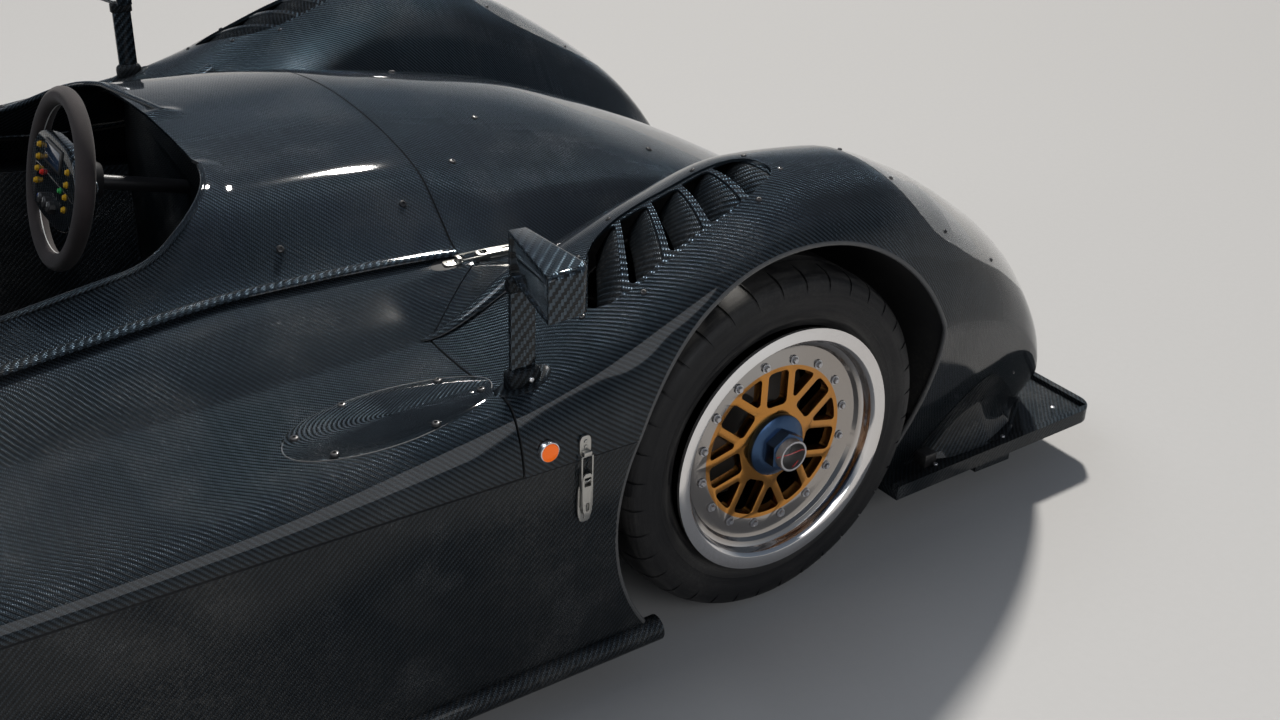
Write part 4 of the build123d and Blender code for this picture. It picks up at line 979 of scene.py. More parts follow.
def rim_finish(name, axle, gold):
    """Rim of three pieces: gold centre, polished lip with lathe marks, and a rougher barrel behind the
    spokes, painted darker as shade.
    """
    tree, shader, places = material(name)
    wear = use(tree, "wear", Place=places, Dust=0.25, Scratches=0.4)
    radius, turn, face = round_axle(tree, places, axle)
    within = ramp(tree, radius, RIM_GOLD_RADIUS, RIM_GOLD_RADIUS + FINISH_EDGE, 1.0, 0.0)
    centre = calc(tree, "MULTIPLY", within, ramp(tree, face, RIM_GOLD_Y, RIM_GOLD_Y + FINISH_EDGE))
    # Inward of the spokes the barrel is rougher, and its colour is darker: painted shade.
    barrel_rough_and_shade = ramp(tree, face, 0.765, 0.795, 1.0, 0.0)
    lip = ramp(tree, radius, 0.172, 0.186)
    wall = blend(tree, lip, (0.40, 0.39, 0.38), (0.90, 0.90, 0.91))
    silver = blend(tree, barrel_rough_and_shade, wall, (0.17, 0.17, 0.18))
    base = blend(tree, centre, silver, gold)
    stained = blend(tree, calc(tree, "MULTIPLY", wear["Stain"], 0.3), base, (0.30, 0.20, 0.12))
    dusty = blend(tree, wear["Dust"], stained, (0.30, 0.27, 0.23))
    around = calc(tree, "MULTIPLY", turn, 0.3)
    outward, across = (calc(tree, "MULTIPLY", way, 700.0) for way in (radius, face))
    ring = node(tree, "CombineXYZ", {0: around, 1: outward, 2: across}).outputs[0]
    lathe_marks = noise(tree, ring, 1.0, 3.0)
    height = calc(tree, "MULTIPLY_ADD", lathe_marks, 0.5, wear["Scratch"])
    rough = calc(tree, "MULTIPLY_ADD", calc(tree, "MAXIMUM", centre, barrel_rough_and_shade), 0.12, 0.10)
    rough = calc(tree, "MULTIPLY_ADD", wear["Dust"], 0.4, rough)
    put(
        tree, shader, Base_Color=dusty, Metallic=ramp(tree, wear["Dust"], 0.0, 1.0, 1.0, 0.2),
        Roughness=rough, Normal=bump(tree, height, 0.25, 0.0002),
    )


def rubber(name, axle, tread_radius):
    """Tyre rubber: dark tread, and a sidewall with moulded rings, scuffed pale near the rim and dusty."""
    tree, shader, places = material(name)
    wear = use(tree, "wear", Place=places, Dust=0.5, Scratches=0.3)
    radius, turn, _ = round_axle(tree, places, axle)
    fine = noise(tree, places, 420.0, 3.0)
    around, outward = calc(tree, "MULTIPLY", turn, 1.2), calc(tree, "MULTIPLY", radius, 60.0)
    ring = node(tree, "CombineXYZ", {0: around, 1: outward})
    rubbed = noise(tree, ring.outputs[0], 2.0, 5.0, Roughness=0.65)
    low = calc(tree, "MULTIPLY", ramp(tree, radius, tread_radius - 0.060, tread_radius - 0.075),
               ramp(tree, rubbed, 0.38, 0.66))
    crown = calc(tree, "MULTIPLY", ramp(tree, radius, tread_radius - 0.024, tread_radius - 0.006),
                 ramp(tree, rubbed, 0.42, 0.70))
    base = blend(tree, fine, (0.004, 0.004, 0.005), (0.012, 0.012, 0.013))
    scuffed = blend(tree, calc(tree, "MULTIPLY", low, 0.5), base, (0.095, 0.090, 0.084))
    worn = blend(tree, calc(tree, "MULTIPLY", crown, 0.6), scuffed, (0.085, 0.082, 0.078))
    dusty = blend(tree, wear["Dust"], worn, (0.10, 0.094, 0.086))
    marked = blend(tree, wear["Scratch"], dusty, (0.13, 0.126, 0.12))
    lines = calc(tree, "SINE", calc(tree, "MULTIPLY", radius, 2200.0))
    height = calc(tree, "MULTIPLY_ADD", lines, 0.15, fine)
    put(
        tree, shader, Base_Color=marked, Roughness=ramp(tree, rubbed, 0.3, 0.7, 0.44, 0.70),
        Normal=bump(tree, height, 0.3, 0.0005), Specular_IOR_Level=0.28,
    )


def cloth_like(name, colour, tip, scale, roughness=0.9):
    """Suede or woven cover: short nap or threads with a paler worn top."""
    tree, shader, places = material(name)
    nap = noise(tree, places, scale, 5.0, Roughness=0.7)
    worn = noise(tree, places, 16.0, 3.0)
    base = blend(tree, nap, colour, tip)
    rubbed = blend(tree, ramp(tree, worn, 0.45, 0.75, 0.0, 0.6), base, tuple(c * 1.7 for c in tip))
    put(
        tree, shader, Base_Color=rubbed, Roughness=roughness,
        Normal=bump(tree, nap, 0.5, 0.0008), Sheen_Weight=0.08, Sheen_Roughness=0.5,
    )


def plastic(name, colour, roughness, dust=0.2, scratches=0.3, coat=0.0, painted_glow=0.0):
    """Moulded or painted plastic with dust and scratches."""
    tree, shader, places = material(name)
    wear = use(tree, "wear", Place=places, Dust=dust, Scratches=scratches)
    fine = noise(tree, places, 300.0, 2.0)
    base = blend(tree, calc(tree, "MULTIPLY", wear["Stain"], 0.3), colour, tuple(c * 0.6 for c in colour))
    dusty = blend(tree, wear["Dust"], base, (0.34, 0.31, 0.27))
    put(
        tree, shader, Base_Color=dusty, Roughness=calc(tree, "MULTIPLY_ADD", wear["Dust"], 0.3, roughness),
        Normal=bump(tree, fine, 0.15, 0.0004), Coat_Weight=coat, Coat_Roughness=0.06,
    )
    # Emission on a lens that is not lit: a painted glow.
    if painted_glow:
        put(tree, shader, Emission_Color=(*colour, 1), Emission_Strength=painted_glow)


def clear(name, colour, roughness, haze, transmission=1.0):
    """Clear polycarbonate or glass, hazed by small scratches and dust."""
    tree, shader, places = material(name)
    wear = use(tree, "wear", Place=places, Dust=haze, Scratches=0.6)
    fogged = noise(tree, places, 6.0, 6.0, Roughness=0.65)
    fog = ramp(tree, fogged, 0.35, 0.75, 0.0, haze)
    cover = calc(tree, "MAXIMUM", fog, wear["Dust"])
    base = blend(tree, cover, colour, (0.62, 0.62, 0.60))
    put(
        tree, shader, Base_Color=base, Roughness=calc(tree, "MULTIPLY_ADD", cover, 0.45, roughness),
        Normal=bump(tree, wear["Scratch"], 0.3, 0.0001), IOR=1.45, Transmission_Weight=transmission,
        Coat_Weight=0.6, Coat_Roughness=0.04,
    )


def ground(name):
    """Plain pale floor with the faintest grain, pale also where mirrors and glass show it."""
    tree, shader, places = material(name)
    colour = tuple(bpy.context.scene.car_colours.floor)
    grain = noise(tree, places, 60.0, 4.0)
    put(
        tree, shader, Base_Color=blend(tree, grain, tuple(c * 0.96 for c in colour), colour),
        Roughness=0.8, Normal=bump(tree, grain, 0.1, 0.002),
    )


def make_materials():
    colours = bpy.context.scene.car_colours
    tow, gold = tuple(colours.tow), tuple(colours.gold)
    twill_group()
    wear_group()
    # Tows across them, a tenth as bright: painted shade.
    shaded_tow = tuple(c * 0.10 for c in tow)
    carbon("carbon_body", tow, shaded_tow, 1.0, 0.10, 0.30)
    carbon("carbon_flank", tuple(c * 0.7 for c in tow), shaded_tow, 0.9, 0.35, 0.6, tow=1.15)
    carbon("carbon_ribbed", tuple(c * 1.5 for c in tow), shaded_tow, 1.0, 0.10, 0.2, tow=2.1)
    carbon("carbon_panel", tow, shaded_tow, 1.0, 0.15, 0.3, tow=1.5)
    # Half as bright tows under a satin coat; on the louvre blades this darker colour is painted shade.
    carbon("carbon_dark", tuple(c * 0.5 for c in tow), shaded_tow, 0.25, 0.4, 0.5, tow=1.3, roughness=0.45)
    carbon("carbon_floor", tuple(c * 0.8 for c in tow), shaded_tow, 0.7, 0.55, 0.8, tow=1.2)
    plastic("carbon_edge", (0.062, 0.064, 0.067), 0.45, 0.3, 0.2)
    plastic("liner_black", (0.012, 0.012, 0.013), 0.7, 0.3)
    rim_finish("front_rim_finish", FRONT_AXLE, gold)
    rim_finish("rear_rim_finish", REAR_AXLE, gold)
    metal("bolt_steel", (0.55, 0.55, 0.57), 0.3, 0.3, 0.2)
    metal("hub_blue", (0.055, 0.10, 0.19), 0.22, 0.6, 0.12, brushed=0.4)
    metal("disc_steel", (0.38, 0.37, 0.36), 0.35, 0.6, 0.2, brushed=0.6)
    metal("cast_metal", (0.42, 0.43, 0.44), 0.5, 0.2, 0.4)
    metal("black_steel", (0.02, 0.02, 0.022), 0.38, 0.4, 0.3, metallic=0.3, coat=0.3)
    metal("bright_steel", (0.78, 0.78, 0.79), 0.2, 0.6, 0.1)
    metal("heat_steel", (0.46, 0.38, 0.32), 0.3, 0.4, 0.2, brushed=0.2)
    metal("red_paint", (0.45, 0.02, 0.015), 0.35, 0.4, 0.2, metallic=0.0, coat=0.6)
    metal("mirror_glass", (0.72, 0.74, 0.76), 0.02, 0.1, 0.04)
    rubber("front_tyre_rubber", FRONT_AXLE, 0.293)
    rubber("rear_tyre_rubber", REAR_AXLE, 0.313)
    cloth_like("suede", (0.010, 0.008, 0.008), (0.030, 0.022, 0.022), 700.0)
    cloth_like("pad_cloth", (0.010, 0.010, 0.011), (0.030, 0.030, 0.032), 900.0)
    cloth_like("webbing", (0.012, 0.012, 0.014), (0.040, 0.040, 0.045), 1400.0, 0.8)
    metal("latch_steel", (0.50, 0.49, 0.46), 0.26, 0.7, 0.3)
    plastic("dial_white", (0.62, 0.62, 0.60), 0.4)
    plastic("button_yellow", (0.62, 0.36, 0.015), 0.3)
    plastic("button_red", (0.70, 0.03, 0.02), 0.3)
    plastic("button_green", (0.04, 0.42, 0.10), 0.3)
    plastic("button_blue", (0.04, 0.12, 0.55), 0.3)
    plastic("screen", (0.03, 0.05, 0.09), 0.12, 0.05, 0.1, coat=1.0)
    plastic("black_plastic", (0.015, 0.015, 0.016), 0.45)
    # The amber lens carries a painted glow.
    plastic("amber_lens", (0.90, 0.14, 0.0), 0.12, 0.02, 0.1, painted_glow=0.25)
    plastic("red_lens", (0.50, 0.015, 0.012), 0.12, 0.05, 0.1, coat=1.0)
    clear("headlamp_cover", (0.66, 0.66, 0.65), 0.04, 0.4, transmission=0.84)
    clear("lens_glass", (0.97, 0.98, 0.98), 0.01, 0.05)
    ground("floor_paint")


def panel_rows(front_x, back_x, t, count):
    """A table of X from a straight front to a back that may differ by column."""
    share = np.linspace(0, 1, count)[:, None]
    return front_x + (np.broadcast_to(back_x, t.shape)[None, :] - front_x) * share


def seam_x(t):
    """X of the front joint, which steps round the tongue of the side pod, for samples of the section."""
    x = np.full(t.shape, FRONT_JOINT_X)
    for _ in range(8):
        y = np.abs(skin(x, t)[:, 1])
        x = np.interp(y, TONGUE_Y, TONGUE_X)
    return np.where(np.abs(t) <= VALLEY, NOSE_SEAM_X, x)


# Sheets turn their faces away from the car's middle line at this place, at any X.
INSIDE = (None, 0, 0.1)
# Rows of faces along each body panel
NOSE_ROWS = 66
FENDER_ROWS = 42
SURROUND_ROWS = 140
POD_ROWS = 120
SKIRT_ROWS = 130
COVER_ROWS = 24
TAIL_ROWS = 110
# Rounded closing of the nose and flat closing of the tail: shares of the last section, and steps along X.
NOSE_CLOSING = ((0.985, 0.95, 0.6, 0.2, 0.02), (0.006, 0.010, 0.012, 0.012, 0.012))
TAIL_CLOSING = ((0.992, 0.975, 0.94, 0.6, 0.3, 0.02), (0.0, 0.0, 0.0, 0.0, 0.0, 0.0))


def capped(points, side, shares, steps, middle):
    """More rows past one end of a table of places, shrinking to a middle point."""
    edge = points[0] if side == "front" else points[-1]
    rows = []
    for share, step in zip(shares, steps):
        row = np.array(middle) + (edge - np.array(middle)) * share
        row[:, 0] = edge[:, 0] + step
        rows.append(row)
    rows = np.array(rows)
    return np.concatenate([rows[::-1], points]) if side == "front" else np.concatenate([points, rows])


def louvre_outline(inset=0.0):
    """Rounded plan outline of the louvre panel, drawn in by a margin."""
    centre = sum((Vector(corner) for corner in LOUVRE_PLAN), Vector((0, 0))) / 4
    corners = []
    for corner in LOUVRE_PLAN:
        out = Vector(corner) - centre
        corners.append(Vector(corner) - Vector((np.sign(out.x) * inset, np.sign(out.y) * inset)))
    return rounded(corners, 3)


def build_front_bodywork():
    t = np.arange(-BOTTOM, BOTTOM + 1)
    arch_x = FRONT_AXLE[0] + 0.02
    nose = panel_rows(NOSE_X, arch_x, t, NOSE_ROWS)
    back = panel_rows(arch_x, np.where(np.abs(t) > EDGE, arch_x - 0.1, seam_x(t)), t, FENDER_ROWS)[1:]
    x = np.concatenate([nose, back])
    points = trim(skin(x, np.broadcast_to(t, x.shape)), ["last"])
    points = capped(points, "front", *NOSE_CLOSING, (NOSE_X, 0, 0.125))
    arch_row = NOSE_ROWS + 4

    def keep(row, column):
        flank = (np.abs(column - BOTTOM + 0.5) > EDGE) & (row >= arch_row)
        return ~flank

    piece = panel("front_skin", points, WHOLE_ZONES, INSIDE, keep)
    cover = copied(piece, "headlamp_glass", Matrix())
    lamp = rounded(HEADLAMP_PLAN)
    cut(piece, both_sides(arch_drum(FRONT_AXLE, FRONT_ARCH_RADIUS)))
    cut(piece, both_sides(prism("lamp_cut", lamp, 0.345, 1.0)))
    cut(piece, both_sides(prism("louvre_cut", louvre_outline(0.010), 0.3, 1.0)))
    finish(piece, CHASSIS, replaces=("front_bodywork",))
    middle = sum(lamp, Vector((0, 0))) / len(lamp)
    small = [middle + (point - middle) * 0.990 for point in lamp]
    window = prism("cover_cut", small, 0.3475, 1.0)
    far = copied(window, "cover_cut_far", MIRROR)
    cut(cover, [joined([window, far], "cover_cut")], "INTERSECT")
    finish(cover, CHASSIS, "headlamp_cover", ("headlamp_covers",))


LIP_RADIUS = 0.0055
LIP_SINK = 0.0045


def rim_outline():
    """Closed plan outline of the cockpit opening, left then right."""
    left = fillet(COCKPIT_CORNERS, COCKPIT_RADII)
    return left, left + [Vector((point.x, -point.y)) for point in left[::-1][:-1]]


def build_surround():
    t = np.linspace(-VALLEY, VALLEY, 4 * VALLEY + 1)
    x = panel_rows(NOSE_SEAM_X, COCKPIT_REAR_X, t, SURROUND_ROWS)
    points = skin(x, np.broadcast_to(t, x.shape))
    left, whole = rim_outline()
    line = np.array([(point.x, point.y) for point in left])
    flat = points.reshape(-1, 3)
    gap_x = flat[:, None, 0] - line[None, :, 0]
    gap_y = np.abs(flat[:, None, 1]) - line[None, :, 1]
    away = np.hypot(gap_x, gap_y).min(axis=1)
    lift = np.clip(1 - away / RIM_BAND, 0, 1)
    flat[:, 2] += RIM_RISE * lift**2 * (3 - 2 * lift)
    points = trim(points, ["first", "low", "high"])
    piece = panel("surround_skin", points, ((0, 2 * VALLEY),), INSIDE)
    cut(piece, [prism("cockpit_cut", [tuple(point) for point in whole[1:]], 0.35, 1.2)])
    finish(piece, CHASSIS, replaces=("cockpit_surround",))
    rail = over([point.x for point in whole], [point.y for point in whole])
    rail[:, 2] += RIM_RISE - LIP_SINK
    lip = pipe("cockpit_rolled_edge", rail, LIP_RADIUS)
    finish(lip, CHASSIS, "carbon_body")


def build_side_pods():
    t_fine = np.linspace(EDGE, VALLEY, 2 * (EDGE - VALLEY) + 1)
    front = seam_x(np.maximum(t_fine, VALLEY + 1e-3))
    share = np.linspace(0, 1, POD_ROWS)[:, None]
    x = front[None, :] + (REAR_JOINT_X - front[None, :]) * share
    points = trim(skin(x, np.broadcast_to(t_fine, x.shape)), ["first", "last", "low", "high"])
    zones = ((0, 2 * (EDGE - CREST)),)
    for side, sign in SIDES:
        sheet = panel(f"side_pod_{side}_skin", points * np.array([1, sign, 1]), zones, INSIDE)
        finish(sheet, CHASSIS, replaces=(f"side_pod_{side}",))


SEAM_FLANGE_ROWS = 90
SEAM_FLANGE_DEPTH = 0.0062
SEAM_FLANGE_WALL = 0.0012
# Two corners of the strip between the floor tray and the sill, from the tray's top.
SILL_STRIP = ((-0.728, 0.838, -0.0005), (0.843, 0.868, 0.0015))


def build_seam_flanges():
    """Flanges under the seams beside the cockpit and strips along the sills, so that no daylight passes."""
    t = np.linspace(VALLEY - 1.5, VALLEY + 1.5, 7)
    x = panel_rows(NOSE_SEAM_X - 0.01, REAR_JOINT_X + 0.01, t, SEAM_FLANGE_ROWS)
    points = skin(x, np.broadcast_to(t, x.shape))
    points[..., 2] -= SEAM_FLANGE_DEPTH
    flange = surface("flange", points)
    face_away(flange, INSIDE)
    modify(flange, "SOLIDIFY", thickness=SEAM_FLANGE_WALL, offset=-1)
    tray_top = Vector((0, 0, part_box("floor_tray")[1][2]))
    sill = block("sill_strip", *(Vector(corner) + tray_top for corner in SILL_STRIP), 0.0004)
    finish_pair(joined([flange, sill], "seam_flanges_left"), "liner_black")


def build_side_skirts():
    t = np.linspace(EDGE, BOTTOM, 2 * (BOTTOM - EDGE) + 1)
    x = panel_rows(FRONT_AXLE[0] - 0.02, REAR_JOINT_X, t, SKIRT_ROWS)
    points = trim(skin(x, np.broadcast_to(t, x.shape)), ["last", "low"])
    for side, sign in SIDES:
        sheet = panel(f"side_skirt_{side}_skin", points * np.array([1, sign, 1]), ((0, 0),), INSIDE)
        arch = arch_drum(FRONT_AXLE, FRONT_ARCH_RADIUS)
        if sign < 0:
            mirrored(arch)
        cut(sheet, [arch])
        sheet.data.materials[0] = MATERIALS["carbon_flank"]
        finish(sheet, CHASSIS, replaces=(f"side_skirt_{side}",))


# Slots in the tail, inner and outer: from and to Y, and how many lie over each other.
TAIL_SLOTS = ((0.060, 0.350, 5), (0.480, 0.760, 3))
TAIL_SLOT_Z = 0.285
TAIL_SLOT_PITCH = 0.044
TAIL_SLOT_HEIGHT = 0.030
TAIL_SCREENS = ((0.052, 0.40), (0.44, 0.80))
PIPE_HOLE_RADIUS = 0.048


def build_rear_bodywork():
    t = np.arange(-BOTTOM, BOTTOM + 1)
    cover = panel_rows(COVER_FRONT_X, REAR_JOINT_X - SEAM_TRIM, t, COVER_ROWS)
    tail = panel_rows(REAR_JOINT_X - SEAM_TRIM, TAIL_X, t, TAIL_ROWS)[1:]
    x = np.concatenate([cover, tail])
    points = skin(x, np.broadcast_to(t, x.shape))
    points = capped(points, "back", *TAIL_CLOSING, (TAIL_X, 0, 0.30))

    def keep(row, column):
        return (row >= COVER_ROWS - 1) | (np.abs(column - BOTTOM + 0.5) < VALLEY)

    piece = panel("rear_skin", points, WHOLE_ZONES, INSIDE, keep)
    cut(piece, both_sides(arch_drum(REAR_AXLE, REAR_ARCH_RADIUS)))
    cut(piece, [block("tail_cut", (-2.1, -1.0, 0.0), (-1.50, 1.0, TAIL_BOTTOM_Z), 0)])
    slots = []
    for from_y, to_y, count in TAIL_SLOTS:
        for row in range(count):
            low_z = TAIL_SLOT_Z + row * TAIL_SLOT_PITCH
            high_z = low_z + TAIL_SLOT_HEIGHT
            slots.append(block("slot", (-2.0, from_y, low_z), (-1.93, to_y, high_z), 0.009, 4))
    cut(piece, both_sides(joined(slots, "tail_slots")))
    cut(piece, [rod("pipe_cut", PIPE_HOLE_RADIUS, -0.04, 0.04, 48, (TAIL_X, 0, 0.39), AHEAD)])
    finish(piece, CHASSIS, replaces=("rear_bodywork",))
    screens = [
        block("tail_screen", (-1.936, from_y, 0.270), (-1.932, to_y, 0.510), 0)
        for from_y, to_y in TAIL_SCREENS
    ]
    finish_pair(joined(screens, "tail_screens_left"), "liner_black")


ARCH_EDGE_RADIUS = 0.0042
ARCH_EDGE_SINK = 0.0035
ARCH_EDGE_INSET = 0.001


def arch_edge(name, axle, radius, front_low_z, back_low_z):
    """Rolled lip along the cut of a wheel arch on the left side."""
    lows = np.array([front_low_z, back_low_z])
    ahead, behind = np.arccos(np.clip((lows - axle[1]) / radius, -1, 1))
    turns = np.linspace(pi / 2 - ahead, pi / 2 + behind, 110)
    reach = radius - ARCH_EDGE_INSET
    points = beside(axle[0] + reach * np.cos(turns), axle[1] + reach * np.sin(turns))
    points[:, 1] -= ARCH_EDGE_SINK
    return pipe(name, points, ARCH_EDGE_RADIUS, sides=10)


def build_arch_edges():
    low = BODY_BOTTOM_Z * MM
    lips = [
        arch_edge("front_arch_edge", FRONT_AXLE, FRONT_ARCH_RADIUS, low, low),
        arch_edge("rear_arch_edge", REAR_AXLE, REAR_ARCH_RADIUS, low, TAIL_BOTTOM_Z),
    ]
    finish_pair(joined(lips, "arch_edges_left"), "carbon_edge")


LOUVRE_SINK = 0.004
LOUVRE_CORNER = 0.007


def louvre_place(along, across):
    """Plan place on the louvre panel: shares of its way from rear to front and from inside out."""
    inner_front, outer_front, outer_rear, inner_rear = (np.array(corner) for corner in LOUVRE_PLAN)
    along, across = np.asarray(along)[..., None], np.asarray(across)[..., None]
    rear = inner_rear + (outer_rear - inner_rear) * across
    front = inner_front + (outer_front - inner_front) * across
    return rear + (front - rear) * along


def louvre_table(along, across, lift=0.0):
    plan = louvre_place(*np.meshgrid(along, across, indexing="ij"))
    table = over(plan[..., 0], plan[..., 1])
    table[..., 2] += lift
    return table


SCREW_RADIUS = 0.0045
SCREW_HEIGHT = 0.0022


def button_head(name, radius, height):
    """A round headed screw with a hexagon socket, standing along Z at the origin."""
    profile = [
        (radius, -0.001), (radius, height * 0.25), (radius * 0.85, height * 0.75),
        (radius * 0.55, height), (radius * 0.42, height), (radius * 0.40, height * 0.3),
    ]
    return lathe_solid(name, profile, 12, axis=UP)


def screws(name, places, radius=SCREW_RADIUS, height=SCREW_HEIGHT):
    """Screws at points with outward normals, as one piece."""
    first = button_head(name, radius, height)
    copies = []
    for point, normal in places:
        turn = Vector(UP).rotation_difference(normal).to_matrix().to_4x4()
        copies.append(copied(first, name + "_one", Matrix.Translation(point) @ turn))
    bpy.data.objects.remove(first)
    return joined(copies, name)


NORMAL_STEP = 0.004


def skin_screw(x, y, lift=0.0):
    """Point and normal for a screw on the skin above a place in plan."""
    point = Vector(over(x, y))
    along = Vector(over(x + NORMAL_STEP, y)) - Vector(over(x - NORMAL_STEP, y))
    across = Vector(over(x, y + NORMAL_STEP)) - Vector(over(x, y - NORMAL_STEP))
    normal = along.cross(across).normalized()
    if normal.z < 0:
        normal.negate()
    return point + normal * lift, normal


def louvre_slot(rear, front):
    """Rounded plan outline of one slot."""
    low, high = LOUVRE_SIDE_SHARE, 1 - LOUVRE_SIDE_SHARE
    corners = [louvre_place(a, b) for a, b in ((rear, low), (front, low), (front, high), (rear, high))]
    return filleted([corner.reshape(-1) for corner in corners], LOUVRE_CORNER)


LOUVRE_OUTSIDE = (None, 0.7, 0.3)
# Walls of the louvres, as shares of the body panels' wall.
FRAME_WALL = 0.6
BLADE_WALL = 0.5
# A blade starts this far into its slot and ends past its front, and its ends pass under the frame.
BLADE_START = 0.30
BLADE_LENGTH = 0.72
BLADE_OVERLAP = 0.03
BLADE_DROP = 0.030


def louvre_blade(rear, front):
    """A curved blade that drops towards the rear of its slot."""
    share = np.linspace(0, 1, 12)
    line = rear + (front - rear) * (BLADE_START + BLADE_LENGTH * share)
    width = np.linspace(LOUVRE_SIDE_SHARE - BLADE_OVERLAP, 1 + BLADE_OVERLAP - LOUVRE_SIDE_SHARE, 24)
    table = louvre_table(line, width, -LOUVRE_SINK)
    dip = 0.002 + BLADE_DROP * (1 - share) ** 1.5
    edge = np.clip(np.abs(width - 0.5) / (0.5 - LOUVRE_SIDE_SHARE + BLADE_OVERLAP), 0, 1)
    table[..., 2] -= dip[:, None] + 0.004 * edge[None, :] ** 4
    blade = panel("louvre_blade", table, ((0, 0),), LOUVRE_OUTSIDE, None, BLADE_WALL)
    # The blades take the darker satin carbon; its darker tows are painted shade inside the slots.
    for index in range(2):
        blade.data.materials[index] = MATERIALS["carbon_dark"]
    return blade


def build_louvres():
    pitch = (1 - 2 * LOUVRE_END_SHARE + LOUVRE_BAR_SHARE) / LOUVRE_SLOTS
    rears = [LOUVRE_END_SHARE + slot * pitch for slot in range(LOUVRE_SLOTS)]
    slots = [(rear, rear + pitch - LOUVRE_BAR_SHARE) for rear in rears]
    table = louvre_table(np.linspace(0, 1, 56), np.linspace(0, 1, 28), -LOUVRE_SINK)
    border = panel("louvre_frame", table, ((0, 0),), LOUVRE_OUTSIDE, None, FRAME_WALL)
    cut(border, [prism("slot_cut", louvre_slot(*slot), 0.3, 1.0) for slot in slots])
    border.data.materials[0] = MATERIALS["carbon_panel"]
    blades = [louvre_blade(*slot) for slot in slots]
    finish_pair(joined([border, *blades], "louvres_left"), replaces=("louvre_panels",))
    line = louvre_outline(-0.004)
    places = [skin_screw(line[index].x, line[index].y) for index in range(2, len(line), 4)]
    finish_pair(screws("louvre_screws_left", places), "black_steel")


LAMP_PLACES = ((1.62, 0.700, 0.405), (1.66, 0.640, 0.345))
LAMP_BOWL = [
    (ON_AXIS, -0.030), (0.014, -0.029), (0.028, -0.020), (0.036, 0.0), (0.038, 0.006),
    (0.041, 0.006), (0.039, -0.002), (0.030, -0.024), (0.015, -0.033), (ON_AXIS, -0.034),
]
LAMP_LENS = [
    (ON_AXIS, 0.002), (0.037, 0.002), (0.037, 0.004), (0.028, 0.009), (0.012, 0.012), (ON_AXIS, 0.0125),
]
LAMP_RING = [(0.039, -0.012), (0.047, -0.012), (0.047, 0.004), (0.044, 0.008), (0.040, 0.008)]
LAMP_SCREW_SHARES = (0.02, 0.12, 0.24, 0.36, 0.80, 0.90)


def build_headlamps():
    dressed("headlamps", "black_plastic", bevel=0.001)
    centres = [(x - 0.025, sign * y, z) for x, y, z in LAMP_PLACES for _, sign in SIDES]
    for name, profile, slot, finish_name in (
        ("lamp_reflectors", LAMP_BOWL, "lamp", "bright_steel"),
        ("lamp_glasses", LAMP_LENS, "clear_cover", "lens_glass"),
        ("lamp_rings", LAMP_RING, "steel_dark", "black_plastic"),
    ):
        parts = [lathe("lamp_part", profile, 48, centre, AHEAD) for centre in centres]
        finish(joined(parts, name), CHASSIS, finish_name)
    line = rounded(HEADLAMP_PLAN)
    middle = sum(line, Vector((0, 0))) / len(line)
    places = []
    for share in LAMP_SCREW_SHARES:
        point = middle + (line[int(share * len(line))] - middle) * 0.93
        places += [skin_screw(point.x, sign * point.y) for _, sign in SIDES]
    finish(screws("headlamp_screws", places, 0.0038), CHASSIS, "black_steel")


def tyre_profile(radius, width, flange):
    """Closed section of a tyre: radius and place across, from the inner bead over the tread and back."""
    half = width / 2
    bulge = half + 0.002
    outer = [
        (flange - 0.004, half * 0.88), (flange + 0.004, half * 0.935), (flange + 0.012, half * 0.965),
        (flange + 0.022, half * 0.985), (flange + 0.024, half * 0.992), (flange + 0.027, half * 0.985),
        (flange + 0.038, bulge - 0.001), (flange + 0.046, bulge), (radius - 0.033, bulge - 0.001),
        (radius - 0.022, half - 0.001), (radius - 0.0135, half - 0.0055), (radius - 0.0085, half - 0.012),
        (radius - 0.0050, half - 0.020), (radius - 0.0025, half - 0.032), (radius - 0.0010, half * 0.55),
        (radius, half * 0.25),
    ]
    across = outer + [(r, -w) for r, w in outer[::-1]]
    inside = [(flange - 0.004, -half * 0.80), (radius - 0.030, -half * 0.80), (radius - 0.020, 0.0)]
    return across + inside + [(r, -w) for r, w in inside[:-1][::-1]]


# Tyre: radius, width and radius of its rim's flange. Rim: width between its faces.
TYRE_SIZES = {"front": (0.293, 0.205, 0.2075), "rear": (0.313, 0.262, 0.220)}
RIM_WIDTHS = {"front": 0.229, "rear": 0.280}
TYRE_GROOVES = 36
# Places within the pitch of one groove, with the groove itself between two close pairs.
GROOVE_SHARES = np.array([0.0, 0.1, 0.2, 0.3, 0.4, 0.457, 0.459, 0.541, 0.543, 0.6, 0.7, 0.8, 0.9])
GROOVE_FROM = 0.458
GROOVE_TO = 0.542
TYRE_SAMPLE = 0.009


